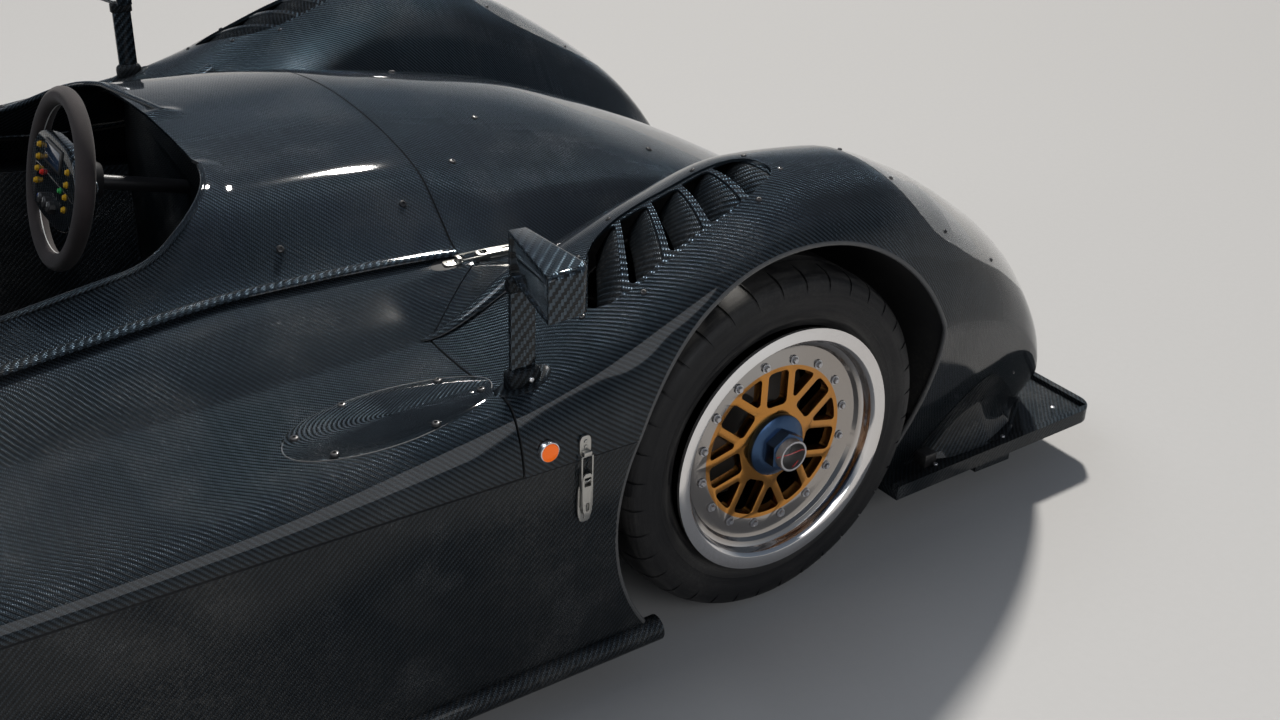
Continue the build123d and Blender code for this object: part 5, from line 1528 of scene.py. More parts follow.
def build_tyre(end, side, sign, axle):
    """Tyre with radial grooves over each shoulder, two grooves round its tread and raised sidewall rings."""
    radius, width, flange = TYRE_SIZES[end]
    depth = bpy.context.scene.car_sizes.groove_depth
    profile = np.array(tyre_profile(radius, width, flange))
    fine = []
    for here, after in zip(profile, np.roll(profile, -1, axis=0)):
        count = max(1, int(np.hypot(*(after - here)) / TYRE_SAMPLE))
        fine += [here + (after - here) * k / count for k in range(count)]
    fine = np.array(fine)
    turns = (np.arange(TYRE_GROOVES)[:, None] + GROOVE_SHARES).reshape(-1) * 2 * pi / TYRE_GROOVES
    turns = np.append(turns, 2 * pi)
    inside = (GROOVE_SHARES > GROOVE_FROM) & (GROOVE_SHARES < GROOVE_TO)
    slit = np.append(np.tile(inside, TYRE_GROOVES), False)[:, None]
    r, across = fine[:, 0][None, :], fine[:, 1][None, :]
    shoulder = (np.abs(across) > width / 2 - 0.040) & (r > radius - 0.026)
    r = np.where(shoulder & slit, r - depth, r)
    tread = (np.abs(np.abs(across) - width * 0.16) < 0.0045) & (r > radius - 0.004)
    r = np.where(tread, r - depth * 1.4, r)
    wheel_y = sign * (WHEEL_FACE_Y - RIM_WIDTHS[end] / 2)
    points = np.stack(
        [
            axle[0] + r * np.cos(turns)[:, None],
            np.broadcast_to(wheel_y + across, (len(turns), len(fine))),
            axle[1] + r * np.sin(turns)[:, None],
        ],
        axis=-1,
    )
    name = f"{end}_tyre_{side}"
    piece = surface(name + "_rubber", points, ring=True)
    edit(piece, merge, turn_out)
    finish(piece, f"wheel_{end}_{side}", f"{end}_tyre_rubber", (name,), 28)


WHEELS = [
    (end, side, sign, axle)
    for end, axle in (("front", FRONT_AXLE), ("rear", REAR_AXLE))
    for side, sign in SIDES
]


def build_tyres():
    for wheel in WHEELS:
        build_tyre(*wheel)


RIM_BOLTS = 16
RIM_BOLT_RADIUS = 0.1425
RIM_BOLT_Y = 0.8195
VALVE_STEM = [
    (ON_AXIS, 0), (0.0042, 0), (0.0042, 0.012), (0.0032, 0.013), (0.0032, 0.022), (ON_AXIS, 0.023),
]


def build_rims():
    for end, side, sign, axle in WHEELS:
        rim, body = f"{end}_rim_{side}", f"wheel_{end}_{side}"
        dressed(rim, f"{end}_rim_finish", body, bevel=0.0012, cloth=False)
        bolt = lathe_solid("bolt", [(0.0052, -0.004), (0.0052, 0.0035), (0.0040, 0.0052)], 6)
        washer = rod("washer", 0.0075, -0.001, 0.0007, 16)
        heads = []
        for index in range(RIM_BOLTS):
            angle = 2 * pi * (index + 0.5) / RIM_BOLTS
            x, z = axle[0] + RIM_BOLT_RADIUS * cos(angle), axle[1] + RIM_BOLT_RADIUS * sin(angle)
            shift = Matrix.Translation((x, RIM_BOLT_Y, z))
            heads += [copied(bolt, "head", shift), copied(washer, "seat", shift)]
        for first in (bolt, washer):
            bpy.data.objects.remove(first)
        stem = lathe("stem", VALVE_STEM, 12, (axle[0] + TYRE_SIZES[end][2] - 0.048, 0.792, axle[1]))
        bolts = joined([*heads, stem], rim + "_bolts")
        if sign < 0:
            mirrored(bolts)
        finish(bolts, body, "bolt_steel")


# Where the hub's blue nut and its bare spindle show on the outer face.
HUB_FACE_Y = 0.80
HUB_NUT_RADIUS = 0.054
HUB_SPINDLE_RADIUS = 0.0265
# Safety clip: X and Z from the axle, and distance from the car's middle line between them.
HUB_CLIP = [
    (-0.030, 0.862, 0.004), (-0.012, 0.872, 0.010), (0.010, 0.873, 0.012),
    (0.026, 0.864, 0.002), (0.020, 0.860, -0.014), (0.0, 0.864, -0.024),
]


def build_hubs():
    for end, side, sign, axle in WHEELS:
        hub, body = f"{end}_hub_{side}", f"wheel_{end}_{side}"
        piece = dressed(hub, "disc_steel", body, bevel=0.0008, cloth=False)
        ring_map(piece, *axle)
        for name in ("hub_blue", "bolt_steel"):
            piece.data.materials.append(MATERIALS[name])
        for polygon in piece.data.polygons:
            corners = [piece.data.vertices[index].co for index in polygon.vertices]
            radius = max(hypot(corner.x - axle[0], corner.z - axle[1]) for corner in corners)
            if abs(polygon.center.y) > HUB_FACE_Y and radius < HUB_NUT_RADIUS:
                polygon.material_index = 1 if radius > HUB_SPINDLE_RADIUS else 2
        clip = [(axle[0] + x, sign * y, axle[1] + z) for x, y, z in HUB_CLIP]
        finish(pipe(hub + "_clip", clip, 0.0011, sides=6), body, "red_paint")


DISC_SHARES = (0.02, 0.3, 0.6, 0.8, 0.92, 0.97, 0.992, 1.0, 1.003)


def skin_disc(name, centre, radii, lift, turn=0.0, sink=0.002):
    """A thin domed cover on the skin over an oval in plan, its edge sunk into the skin."""
    turns = np.linspace(0, 2 * pi, 48, endpoint=False)
    rows = []
    for share in DISC_SHARES:
        x, y = radii[0] * share * np.cos(turns), radii[1] * share * np.sin(turns)
        row = over(centre[0] + x * cos(turn) - y * sin(turn), centre[1] + x * sin(turn) + y * cos(turn))
        row[:, 2] += lift * (1 - share**12) if share <= 1 else -sink
        rows.append(row)
    piece = surface(name, np.array(rows), ring=True)
    edit(piece, merge)
    face_away(piece, INSIDE)
    return piece


def placed(point, along, normal):
    """Matrix that lays a piece's own X along a direction and its Z along a normal."""
    normal = Vector(normal).normalized()
    along = Vector(along)
    along = (along - normal * along.dot(normal)).normalized()
    turn = Matrix((along, normal.cross(along), normal)).transposed().to_4x4()
    return Matrix.Translation(point) @ turn


LATCH_WIRE = [
    (-0.006, -0.0085, 0.006), (0.030, -0.0085, 0.0062), (0.033, 0, 0.0062),
    (0.030, 0.0085, 0.0062), (-0.006, 0.0085, 0.006), (-0.008, 0, 0.0060),
]
LATCH_RIVETS = (-0.028, 0.092, 0.046, -0.020)
RIVET = [(ON_AXIS, 0), (0.003, 0.0015), (0.0022, 0.0032), (ON_AXIS, 0.0036)]
LATCH_WALL = 0.0035
LATCH_FOOT_Z = 0.0016
CUTTER_HEIGHT = 0.02


def toggle_latch(name):
    """Toggle latch along X with its keeper behind the seam at X 0: lever, wire loop, keeper, rivets."""
    lever = plate("lever", rounded(strip(0.020, 0.090, 0.0095, 0.0075)), LATCH_WALL, 0.0008)
    raised(lever, 0.0085)
    slot = raised(plate("lever_slot", rounded(strip(0.066, 0.080, 0.0030)), CUTTER_HEIGHT), 0.015)
    window = raised(plate("lever_window", strip(0.026, 0.040, 0.0055), CUTTER_HEIGHT), 0.015)
    cut(lever, [slot, window])
    cheeks = [
        block("cheek", (0.022, side - 0.0010, -0.001), (0.074, side + 0.0010, 0.0075), 0.0006)
        for side in (-0.0082, 0.0082)
    ]
    base, keeper = (
        raised(plate(part, rounded(strip(*outline)), LATCH_WALL, 0.0006), LATCH_FOOT_Z)
        for part, outline in (("base", (0.034, 0.100, 0.0115)), ("keeper", (-0.036, -0.004, 0.009)))
    )
    loop = pipe("loop", LATCH_WIRE, 0.0015, sides=8, closed=True)
    hook = block("hook", (-0.014, -0.0065, 0.0), (-0.0065, 0.0065, 0.0088), 0.0012)
    rivets = [lathe("rivet", RIVET, 10, (x, 0, 0), UP) for x in LATCH_RIVETS]
    return joined([lever, *cheeks, base, loop, keeper, hook, *rivets], name)


# The high latch crosses the seam of the tongue, and the low one the seam under the front joint.
HIGH_LATCH = (0.8275, 0.467)
LOW_LATCH_X = 0.775


def build_latches():
    high_along = Vector(over(0.880, HIGH_LATCH[1])) - Vector(over(0.800, HIGH_LATCH[1]))
    high, high_normal = skin_screw(*HIGH_LATCH, 0.0005)
    low = Vector(beside(LOW_LATCH_X, PANEL_SEAM_Z))
    down = Vector(beside(LOW_LATCH_X, 0.380)) - Vector(beside(LOW_LATCH_X, 0.460))
    low_normal = down.cross(Vector(AHEAD)) * -1
    first = toggle_latch("latch")
    pair = [
        copied(first, "latch_high", placed(high, high_along, high_normal)),
        copied(first, "latch_low", placed(low, down, low_normal)),
    ]
    left = joined(pair, "latches_left")
    bpy.data.objects.remove(first)
    finish_pair(left, "latch_steel")
    # Dark discs on the skin beside the high latches: a painted shadow of a pocket that is not carved.
    pocket_shadows = [
        skin_disc("pocket", (0.797, sign * HIGH_LATCH[1]), (0.026, 0.014), 0.0004, sink=0.001)
        for _, sign in SIDES
    ]
    finish(joined(pocket_shadows, "latch_pockets"), CHASSIS, "liner_black")


DUCT_CENTRE = (0.548, 0.776)
DUCT_RADII = (0.146, 0.070)
DUCT_SCREW_TURNS = (0.35, 1.3, 2.4, 3.5, 4.4, 5.5)
RIB_ROWS = 22
RIB_SIDES = 14
# Rows that round off the front of a rib: share of its last section and step along X.
RIB_FRONT = ((0.85, 0.004), (TIP_SHARE, 0.006))
BEAD_ROWS = 90
# Fasteners in the skin, in plan.
FASTENERS = (
    (0.775, 0.37), (0.565, 0.39), (0.13, 0.500), (-0.25, 0.520), (1.02, 0.16), (1.35, 0.22),
    (0.90, 0.30), (1.02, 0.44), (1.60, 0.30), (-0.70, 0.20), (-0.70, 0.45),
)
MARKER_CENTRE = (0.718, 0.893, 0.461)
MARKER_BEZEL = [(0.0128, -0.004), (0.0150, -0.004), (0.0150, 0.0022), (0.0143, 0.0036), (0.0130, 0.0040)]


def duct_place(turn, share, sign):
    """Plan place on the oval of a duct cover, at a share of its radii."""
    x = DUCT_CENTRE[0] + DUCT_RADII[0] * share * np.cos(turn)
    return x, sign * (DUCT_CENTRE[1] + DUCT_RADII[1] * share * np.sin(turn))


def tongue_rib(sign):
    """Rib along the tongue of a side pod, swelling towards the nose."""
    share = np.linspace(0, 1, RIB_ROWS)
    line = over(0.676 + 0.150 * share, np.full(RIB_ROWS, sign * 0.617))
    line[:, 2] += 0.001 + 0.004 * share
    swell = (0.0015 + 0.0105 * share**0.8)[:, None]
    ring = np.linspace(0, 2 * pi, RIB_SIDES, endpoint=False)
    level = np.zeros((RIB_ROWS, RIB_SIDES))
    rows = line[:, None, :] + np.stack([level, 1.7 * swell * np.cos(ring), swell * np.sin(ring)], axis=-1)
    tip = rows[-1:].mean(axis=1, keepdims=True)
    front = [tip + (rows[-1:] - tip) * size + (step, 0, 0) for size, step in RIB_FRONT]
    rib = surface("tongue_rib", np.concatenate([rows, *front]), ring=True)
    edit(rib, merge, turn_out)
    return rib


def build_skin_details():
    """Oval duct covers, the tongue ribs, beads along the surround, bezels and fasteners."""
    covers, ribs, beads, edges, heads = [], [], [], [], []
    turns = np.linspace(0, 2 * pi, 61)[:-1]
    for _, sign in SIDES:
        centre = (DUCT_CENTRE[0], sign * DUCT_CENTRE[1])
        covers.append(skin_disc("duct_cover", centre, DUCT_RADII, 0.0028, sign * 0.06))
        edges.append(pipe("duct_edge", over(*duct_place(turns, 1.004, sign)), 0.0008, sides=6, closed=True))
        heads += [skin_screw(*duct_place(turn, 0.9, sign), 0.0022) for turn in DUCT_SCREW_TURNS]
        ribs.append(tongue_rib(sign))
        x = np.linspace(NOSE_SEAM_X - 0.004, COCKPIT_REAR_X + 0.004, BEAD_ROWS)
        bead = skin(x, np.full(BEAD_ROWS, VALLEY - 0.42)) * (1, sign, 1) + (0, 0, 0.0005)
        beads.append(pipe("surround_bead", bead, 0.0130, sides=16, flat=0.50))
        heads += [skin_screw(x, sign * y, 0.0002) for x, y in FASTENERS]
    for parts, name, finish_name in (
        (covers, "duct_covers", "carbon_body"),
        (ribs, "tongue_ribs", "carbon_body"),
        (beads, "surround_beads", "carbon_panel"),
        (edges, "duct_edges", "carbon_edge"),
    ):
        finish(joined(parts, name), CHASSIS, finish_name)
    finish(screws("body_fasteners", heads, 0.0062, 0.003), CHASSIS, "black_steel")
    bezel = lathe("bezel", MARKER_BEZEL, 32, MARKER_CENTRE)
    rings = [bezel, copied(bezel, "bezel_far", MIRROR)]
    finish(joined(rings, "marker_bezels"), CHASSIS, "bright_steel")


MIRROR_STEM = (0.719, 0.824)
MIRROR_REAR = ((0.709, 0.807), (0.673, 0.963))
MIRROR_GLASS_Z = (0.6905, 0.7405)
MIRROR_GLASS_MARGIN = 0.0066
MIRROR_FOOT_HALF = (0.026, 0.013)
MIRROR_COLLAR_HALF = (0.022, 0.0075)


def foot_block(name, half, low_z, high_z, bevel, segments):
    """A rounded block round the mirror's stem."""
    x, y = MIRROR_STEM
    low, high = (x - half[0], y - half[1], low_z), (x + half[0], y + half[1], high_z)
    return block(name, low, high, bevel, segments)


def build_mirrors():
    start, end = (Vector((*corner, 0)) for corner in MIRROR_REAR)
    along = (end - start).normalized()
    ahead = Vector((along.y, -along.x, 0))
    turn = Matrix((ahead, along, Vector(UP))).transposed().to_4x4()
    low = (0.0022, MIRROR_GLASS_MARGIN, MIRROR_GLASS_Z[0])
    high = (0.0040, (end - start).length - MIRROR_GLASS_MARGIN, MIRROR_GLASS_Z[1])
    glass = block("glass", low, high, 0.0006)
    glass.data.transform(Matrix.Translation(start) @ turn)
    x, y = MIRROR_STEM
    foot_z = float(over(x, y)[2])
    foot = foot_block("foot", MIRROR_FOOT_HALF, foot_z - 0.012, foot_z + 0.024, 0.011, 5)
    pad = skin_disc("foot_pad", MIRROR_STEM, (0.042, 0.024), 0.003)
    collar = foot_block("collar", MIRROR_COLLAR_HALF, 0.668, 0.688, 0.003, 3)
    base = joined([foot, pad, collar], "mirror_foot")
    foot_bolt = (Vector((x + 0.006, y + MIRROR_FOOT_HALF[1], foot_z + 0.008)), Vector(ACROSS))
    bolts = screws("mirror_bolts", [foot_bolt, skin_screw(x - 0.060, y - 0.030)], 0.0042, 0.0028)
    sources = (
        (glass, "glass", "metal", "mirror_glass"),
        (base, "foot", "carbon_body", "carbon_dark"),
        (bolts, "bolts", "metal", "bright_steel"),
    )
    for side, sign in SIDES:
        dressed(f"mirror_{side}", "carbon_ribbed", bevel=0.0022)
        for source, name, slot, finish_name in sources:
            piece = copied(source, f"mirror_{side}_{name}", Matrix() if sign > 0 else MIRROR)
            if name == "foot":
                cloth_map(piece)
            finish(piece, CHASSIS, finish_name)
    for source in (glass, base, bolts):
        bpy.data.objects.remove(source)


STEERING_CENTRE = (0.360, 0, 0.622)
STEERING_TILT = 14.0
STEERING_RING = 0.132
STEERING_BODY = [
    (-0.124, -0.018), (-0.098, -0.058), (-0.050, -0.070), (0.050, -0.070), (0.098, -0.058),
    (0.124, -0.018), (0.124, 0.018), (0.096, 0.052), (0.054, 0.066), (-0.054, 0.066),
    (-0.096, 0.052), (-0.124, 0.018),
]
PADDLE = [(0.040, -0.020), (0.112, -0.030), (0.118, 0.034), (0.040, 0.020)]
DIAL_ROW_Y = -0.040
DIAL_PLACES = (-0.024, 0.0, 0.024)
DIAL = [(0.0105, 0.010), (0.0100, 0.020), (0.0075, 0.0225)]
BUTTON_ROW = (0.034, 0.014, -0.006, -0.026)
BUTTONS = [
    ("button_yellow", 0.0040, [(side, y) for side in (-0.078, 0.078) for y in BUTTON_ROW]),
    ("button_red", 0.0038, [(-0.050, -0.004)]),
    ("button_green", 0.0036, [(0.050, -0.004)]),
    ("button_blue", 0.0036, [(-0.050, -0.044)]),
]


def steering_body():
    """Plate of the steering wheel with its two shift paddles."""
    parts = [raised(plate("body", rounded(STEERING_BODY), 0.022, 0.0035, 3), 0.012)]
    for side in (-1, 1):
        outline = rounded([(side * x, y) for x, y in PADDLE][::side])
        parts.append(raised(plate("paddle", outline, 0.003, 0.0008), -0.022))
    return joined(parts, "steering_body")


def button_caps(finish_name, radius, places):
    """Round buttons of one colour, each on its collar."""
    collar = radius * 1.35
    profile = [
        (ON_AXIS, 0.010), (collar, 0.010), (collar, 0.0135), (radius, 0.0135),
        (radius * 0.96, 0.0165), (ON_AXIS, 0.0172),
    ]
    caps = [lathe("cap", profile, 16, (x, y, 0), UP) for x, y in places]
    return joined(caps, "steering_" + finish_name), "suede", finish_name


def build_steering_wheel():
    tilt = radians(STEERING_TILT)
    columns = (Vector((0, -1, 0)), Vector((sin(tilt), 0, cos(tilt))), Vector((-cos(tilt), 0, sin(tilt))))
    place = Matrix.Translation(STEERING_CENTRE) @ Matrix(columns).transposed().to_4x4()
    turns = np.linspace(0, 2 * pi, 73)[:-1]
    line = STEERING_RING * np.stack([np.cos(turns), np.sin(turns), np.zeros(72)], axis=-1)
    grip = pipe("steering_grip", line, 0.0148, sides=20, closed=True)
    seam = pipe("seam", line * 0.8935, 0.0011, sides=6, closed=True)
    body = steering_body()
    hub = lathe_solid("boss", [(0.030, -0.060), (0.036, -0.045), (0.036, -0.010)], 32, axis=UP)
    boss = joined([hub, rod("shaft", 0.012, -0.250, -0.050, 24, axis=UP)], "steering_boss")
    bezel = block("bezel", (-0.044, 0.018, 0.010), (0.044, 0.056, 0.0150), 0.0015)
    dials = [lathe_solid("dial", DIAL, 10, (x, DIAL_ROW_Y, 0), UP) for x in DIAL_PLACES]
    knobs = joined([bezel, *dials], "steering_dials")
    screen = block("steering_screen", (-0.038, 0.023, 0.0135), (0.038, 0.051, 0.0156), 0.0006)
    marks = [
        block("mark", (x - 0.0008, -0.0385, 0.0221), (x + 0.0008, -0.0315, 0.0230), 0)
        for x in DIAL_PLACES
    ]
    pieces = [
        (grip, "suede", "suede"),
        (seam, "suede", "dial_white"),
        (body, "suede", "carbon_panel"),
        (boss, "metal", "black_steel"),
        (knobs, "suede", "black_plastic"),
        (screen, "clear_cover", "screen"),
        (joined(marks, "steering_marks"), "suede", "dial_white"),
    ]
    pieces += [button_caps(*button) for button in BUTTONS]
    for piece, slot, finish_name in pieces:
        piece.data.transform(place)
        if finish_name == "carbon_panel":
            cloth_map(piece)
        finish(piece, "steering", finish_name, ("steering_wheel",))


# Section of a strap: shares of half its width and of half its thickness.
STRAP_SECTION = ((1, 0.5), (0.96, 1), (-0.96, 1), (-1, 0.5), (-1, -0.5), (-0.96, -1), (0.96, -1), (1, -0.5))
STRAP_STEPS = 6
BELT_THICKNESS = 0.0026


def strap(name, points, width, across):
    """Flat webbing along a smooth line through points."""
    points, across = [Vector(point) for point in points], Vector(across).normalized()
    befores, afters = [points[0]] + points, points[2:] + [points[-1]]
    line = []
    for first, second, third, fourth in zip(befores, points, points[1:], afters):
        for step in range(STRAP_STEPS):
            t = step / STRAP_STEPS
            line.append(
                0.5 * (
                    2 * second + (third - first) * t
                    + (2 * first - 5 * second + 4 * third - fourth) * t**2
                    + (3 * second - first - 3 * third + fourth) * t**3
                )
            )
    line.append(points[-1])
    rows = []
    for index, point in enumerate(line):
        along = line[min(index + 1, len(line) - 1)] - line[max(index - 1, 0)]
        normal = along.cross(across).normalized()
        side, rise = across * width / 2, normal * BELT_THICKNESS / 2
        rows.append([point + side * a + rise * b for a, b in STRAP_SECTION])
    piece = surface(name, pointed(rows), ring=True)
    edit(piece, merge, turn_out)
    return piece


SHOULDER_BELT = [
    (-0.300, 0.085, 0.607), (-0.272, 0.085, 0.606), (-0.243, 0.083, 0.560), (-0.195, 0.073, 0.455),
    (-0.140, 0.058, 0.340), (-0.085, 0.040, 0.232), (-0.032, 0.020, 0.185), (-0.006, 0.010, 0.178),
]
LAP_BELT = [(-0.040, 0.205, 0.152), (-0.020, 0.150, 0.166), (-0.006, 0.080, 0.178), (0.0, 0.020, 0.180)]
CROTCH_BELT = [(0.120, 0, 0.136), (0.060, 0, 0.145), (0.006, 0, 0.176)]
BUCKLE = [
    (ON_AXIS, -0.004), (0.030, -0.004), (0.031, 0.004), (0.027, 0.011), (0.012, 0.013), (ON_AXIS, 0.0125),
]
ADJUSTER_Y = 0.073
ADJUSTER_HALF = 0.029


def build_harness():
    """Shoulder, lap and crotch belts with their buckle."""
    belts = []
    for _, side in SIDES:
        for line, width, across in ((SHOULDER_BELT, 0.050, ACROSS), (LAP_BELT, 0.048, (1, 0, 0.15))):
            belts.append(strap("belt", [(x, side * y, z) for x, y, z in line], width, across))
    belts.append(strap("belt", CROTCH_BELT, 0.044, ACROSS))
    finish(joined(belts, "harness_belts"), CHASSIS, "webbing")
    adjusters = []
    for _, side in SIDES:
        y = side * ADJUSTER_Y
        low, high = (-0.206, y - ADJUSTER_HALF, 0.430), (-0.190, y + ADJUSTER_HALF, 0.472)
        adjusters.append(block("adjuster", low, high, 0.003))
    disc = lathe("buckle", BUCKLE, 40, (-0.002, 0, 0.186), (0.25, 0, 1))
    finish(joined([disc, *adjusters], "harness_buckle"), CHASSIS, "bright_steel")


SPLITTER_TOP_Z = 0.1042
FLARE_X = (1.560, 1.925)
FLARE_BASE_Z = 0.0935
FLARE_ROWS = 40
FLARE_LEVELS = 18
# Height of the fairing and place of its outer foot, at shares of its length from the rear.
FLARE_RISE = ((0.0, 0.12, 0.28, 0.44, 0.60, 0.80, 1.0), (0.004, 0.048, 0.118, 0.160, 0.125, 0.060, 0.006))
FLARE_FOOT = ((0.0, 0.25, 0.5, 0.75, 1.0), (0.742, 0.778, 0.792, 0.765, 0.690))
# Screws along the raised edge of the plate, in plan.
SPLITTER_SCREWS = (
    (1.60, 0.790), (1.78, 0.786), (1.95, 0.760), (2.01, 0.560), (2.012, 0.300), (2.012, 0.100),
)
SPLITTER_SCREW_Z = 0.104


def splitter_flare():
    """Smooth fairing from the plate up to the flank of the nose."""
    share = np.linspace(0, 1, FLARE_ROWS)
    x = FLARE_X[0] + (FLARE_X[1] - FLARE_X[0]) * share
    rise = np.interp(share, *FLARE_RISE)
    rise = np.convolve(np.pad(rise, 2, mode="edge"), np.ones(5) / 5, mode="valid")
    foot = np.interp(share, *FLARE_FOOT)
    level = np.linspace(0, 1, FLARE_LEVELS)
    rows = []
    for place, tall, outer in zip(x, rise, foot):
        along = np.full(FLARE_LEVELS, place)
        z = FLARE_BASE_Z + tall * level
        wall = beside(along, np.maximum(z, 0.105))[:, 1] + 0.0015
        y = np.maximum(wall, wall + (outer - wall) * (1 - level) ** 2.2)
        inner = np.minimum(wall - 0.012, y - 0.004)
        outside, inside = np.stack([along, y, z], axis=-1), np.stack([along, inner, z], axis=-1)
        rows.append(np.concatenate([outside, inside[::-1]]))
    flare = surface("flare", pointed(rows), ring=True)
    edit(flare, merge, turn_out)
    return flare


def build_splitter():
    """The splitter's plate with a fairing up to the nose and a stub bracket on each side, and its screws."""
    base = dressed("splitter", "carbon_floor", bevel=0.0)
    cut(base, [block("flare_cut", (1.40, -0.95, SPLITTER_TOP_Z), (2.10, 0.95, 0.60), 0)])
    modify(base, "BEVEL", width=0.003, segments=3, limit_method="ANGLE", angle_limit=radians(50))
    cloth_map(base)
    smooth(base, SMOOTH_ANGLE)
    flare = splitter_flare()
    stub = block("stub", (1.584, 0.752, 0.094), (1.612, 0.780, 0.120), 0.002)
    flare_far, stub_far = copied(flare, "flare_far", MIRROR), copied(stub, "stub_far", MIRROR)
    flares, stubs = joined([flare, flare_far], "splitter_flares"), joined([stub, stub_far], "splitter_stubs")
    finish(flares, CHASSIS, "carbon_floor", angle=50)
    finish(stubs, CHASSIS, "black_steel")
    places = [
        (Vector((x, sign * y, SPLITTER_SCREW_Z)), Vector(UP)) for x, y in SPLITTER_SCREWS for _, sign in SIDES
    ]
    finish(screws("splitter_screws", places), CHASSIS, "bolt_steel")


def build_plain_dressings():
    for name, slot, finish_name, bevel in (
        ("floor_tray", "carbon_dark", "carbon_dark", 0.001),
        ("rear_diffuser", "carbon_dark", "carbon_dark", 0.001),
        ("sill_rolls", "carbon_body", "carbon_floor", 0.0),
        ("monocoque_tub", "carbon_dark", "carbon_dark", 0.002),
        ("seat", "carbon_dark", "carbon_dark", 0.003),
        ("dash_panel", "carbon_dark", "carbon_dark", 0.002),
        ("rear_bulkhead", "carbon_dark", "carbon_dark", 0.001),
        ("roll_hoop", "steel_dark", "black_steel", 0.0),
        ("front_wishbones", "steel_dark", "black_steel", 0.0),
        ("rear_wishbones", "steel_dark", "black_steel", 0.0),
        ("rear_uprights", "metal", "cast_metal", 0.001),
        ("engine_block", "metal", "cast_metal", 0.004),
        ("gearbox", "metal", "cast_metal", 0.004),
        ("rear_wing", "carbon_body", "carbon_body", 0.0),
        ("wing_end_plates", "carbon_body", "carbon_body", 0.001),
        ("wing_pylons", "metal", "cast_metal", 0.001),
        ("exhaust", "exhaust", "heat_steel", 0.0),
        ("tow_eyes", "tow", "red_paint", 0.001),
        ("tail_lamps", "tail_lamp", "red_lens", 0.001),
        ("marker_lamps", "marker", "amber_lens", 0.0008),
        ("wheel_liners", "carbon_dark", "liner_black", 0.0),
    ):
        dressed(name, finish_name, bevel=bevel)
    for side, _ in SIDES:
        dressed(f"front_knuckle_{side}", "cast_metal", f"knuckle_{side}", bevel=0.001)


PAD_SQUARENESS = 5.0
PAD_CUTS = 13
PAD_CROWN = 0.10
PAD_MARGIN = 0.98
PIPING_MARGIN = 0.955


def build_head_pad():
    """A crowned pad: flat where it rests on the bulkhead, rounded in front, with piping round it."""
    low, high = (Vector(corner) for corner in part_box("head_pad"))
    middle, half = (low + high) / 2, (high - low) / 2
    select()
    bpy.ops.mesh.primitive_cube_add(size=2)
    piece = added("head_pad_cushion")
    edit(piece, lambda: bpy.ops.mesh.subdivide(number_cuts=PAD_CUTS))
    for vertex in piece.data.vertices:
        place = vertex.co.copy()
        norm = sum(abs(c) ** PAD_SQUARENESS for c in place) ** (1 / PAD_SQUARENESS)
        soft = place * (max(abs(c) for c in place) / norm)
        if place.x < 0:
            soft.x = place.x
        crown = 1 - PAD_CROWN * (soft.y**2 + soft.z**2)
        vertex.co = (
            middle.x + half.x * (soft.x * crown if soft.x > 0 else soft.x),
            middle.y + half.y * soft.y * PAD_MARGIN,
            middle.z + half.z * soft.z * PAD_MARGIN,
        )
    modify(piece, "SUBSURF", levels=1, render_levels=1)
    finish(piece, CHASSIS, "pad_cloth", ("head_pad",), 60)
    wide, tall = half.y * PIPING_MARGIN, half.z * PIPING_MARGIN
    corners = [(middle.y + wide * a, middle.z + tall * b) for a, b in ((-1, -1), (1, -1), (1, 1), (-1, 1))]
    line = [(middle.x - half.x * 0.25, point.x, point.y) for point in rounded(corners, 3)]
    piping = pipe("head_pad_piping", line, 0.0022, sides=8, closed=True)
    finish(piping, CHASSIS, "webbing")


CAMERA_PLACE = (-0.145, -2.284, 1.440)
CAMERA_YAW = 35.869
CAMERA_PITCH = 27.188
CAMERA_ROLL = 2.053
FOCAL_PIXELS = 1441.43
IMAGE_WIDTH = 1280
SENSOR_WIDTH = 36.0
SUN_PLACE = (3.6, 3.0, 5.0)
SUN_TARGET = (0.9, -0.3, 0.4)
SUN_STRENGTH = 4.4
SUN_WIDTH = 5.0
SUN_COLOUR = (1.0, 0.96, 0.90)
# Soft lamps: name, place, target, width, height, power and colour.
SOFT_LAMPS = (
    ("sky_light", (-2.0, 0.5, 5.5), (0.5, -0.2, 0.0), 3.0, 1.6, 90.0, (0.88, 0.93, 1.0)),
    ("side_light", (0.8, -5.2, 2.6), (0.8, -0.6, 0.4), 3.4, 2.2, 55.0, (0.97, 0.98, 1.0)),
    ("back_light", (-4.8, 3.0, 2.6), (0.0, 0.0, 0.4), 2.4, 1.0, 50.0, (1.0, 0.98, 0.95)),
)


def lamp_at(kind, name, place, target, power, colour):
    """A lamp that shines from one place towards another; its data."""
    bpy.ops.object.light_add(type=kind, location=place)
    lamp = bpy.context.object
    lamp.name = name
    lamp.data.energy, lamp.data.color = power, colour
    lamp.rotation_euler = (Vector(target) - Vector(place)).to_track_quat("-Z", "Y").to_euler()
    return lamp.data


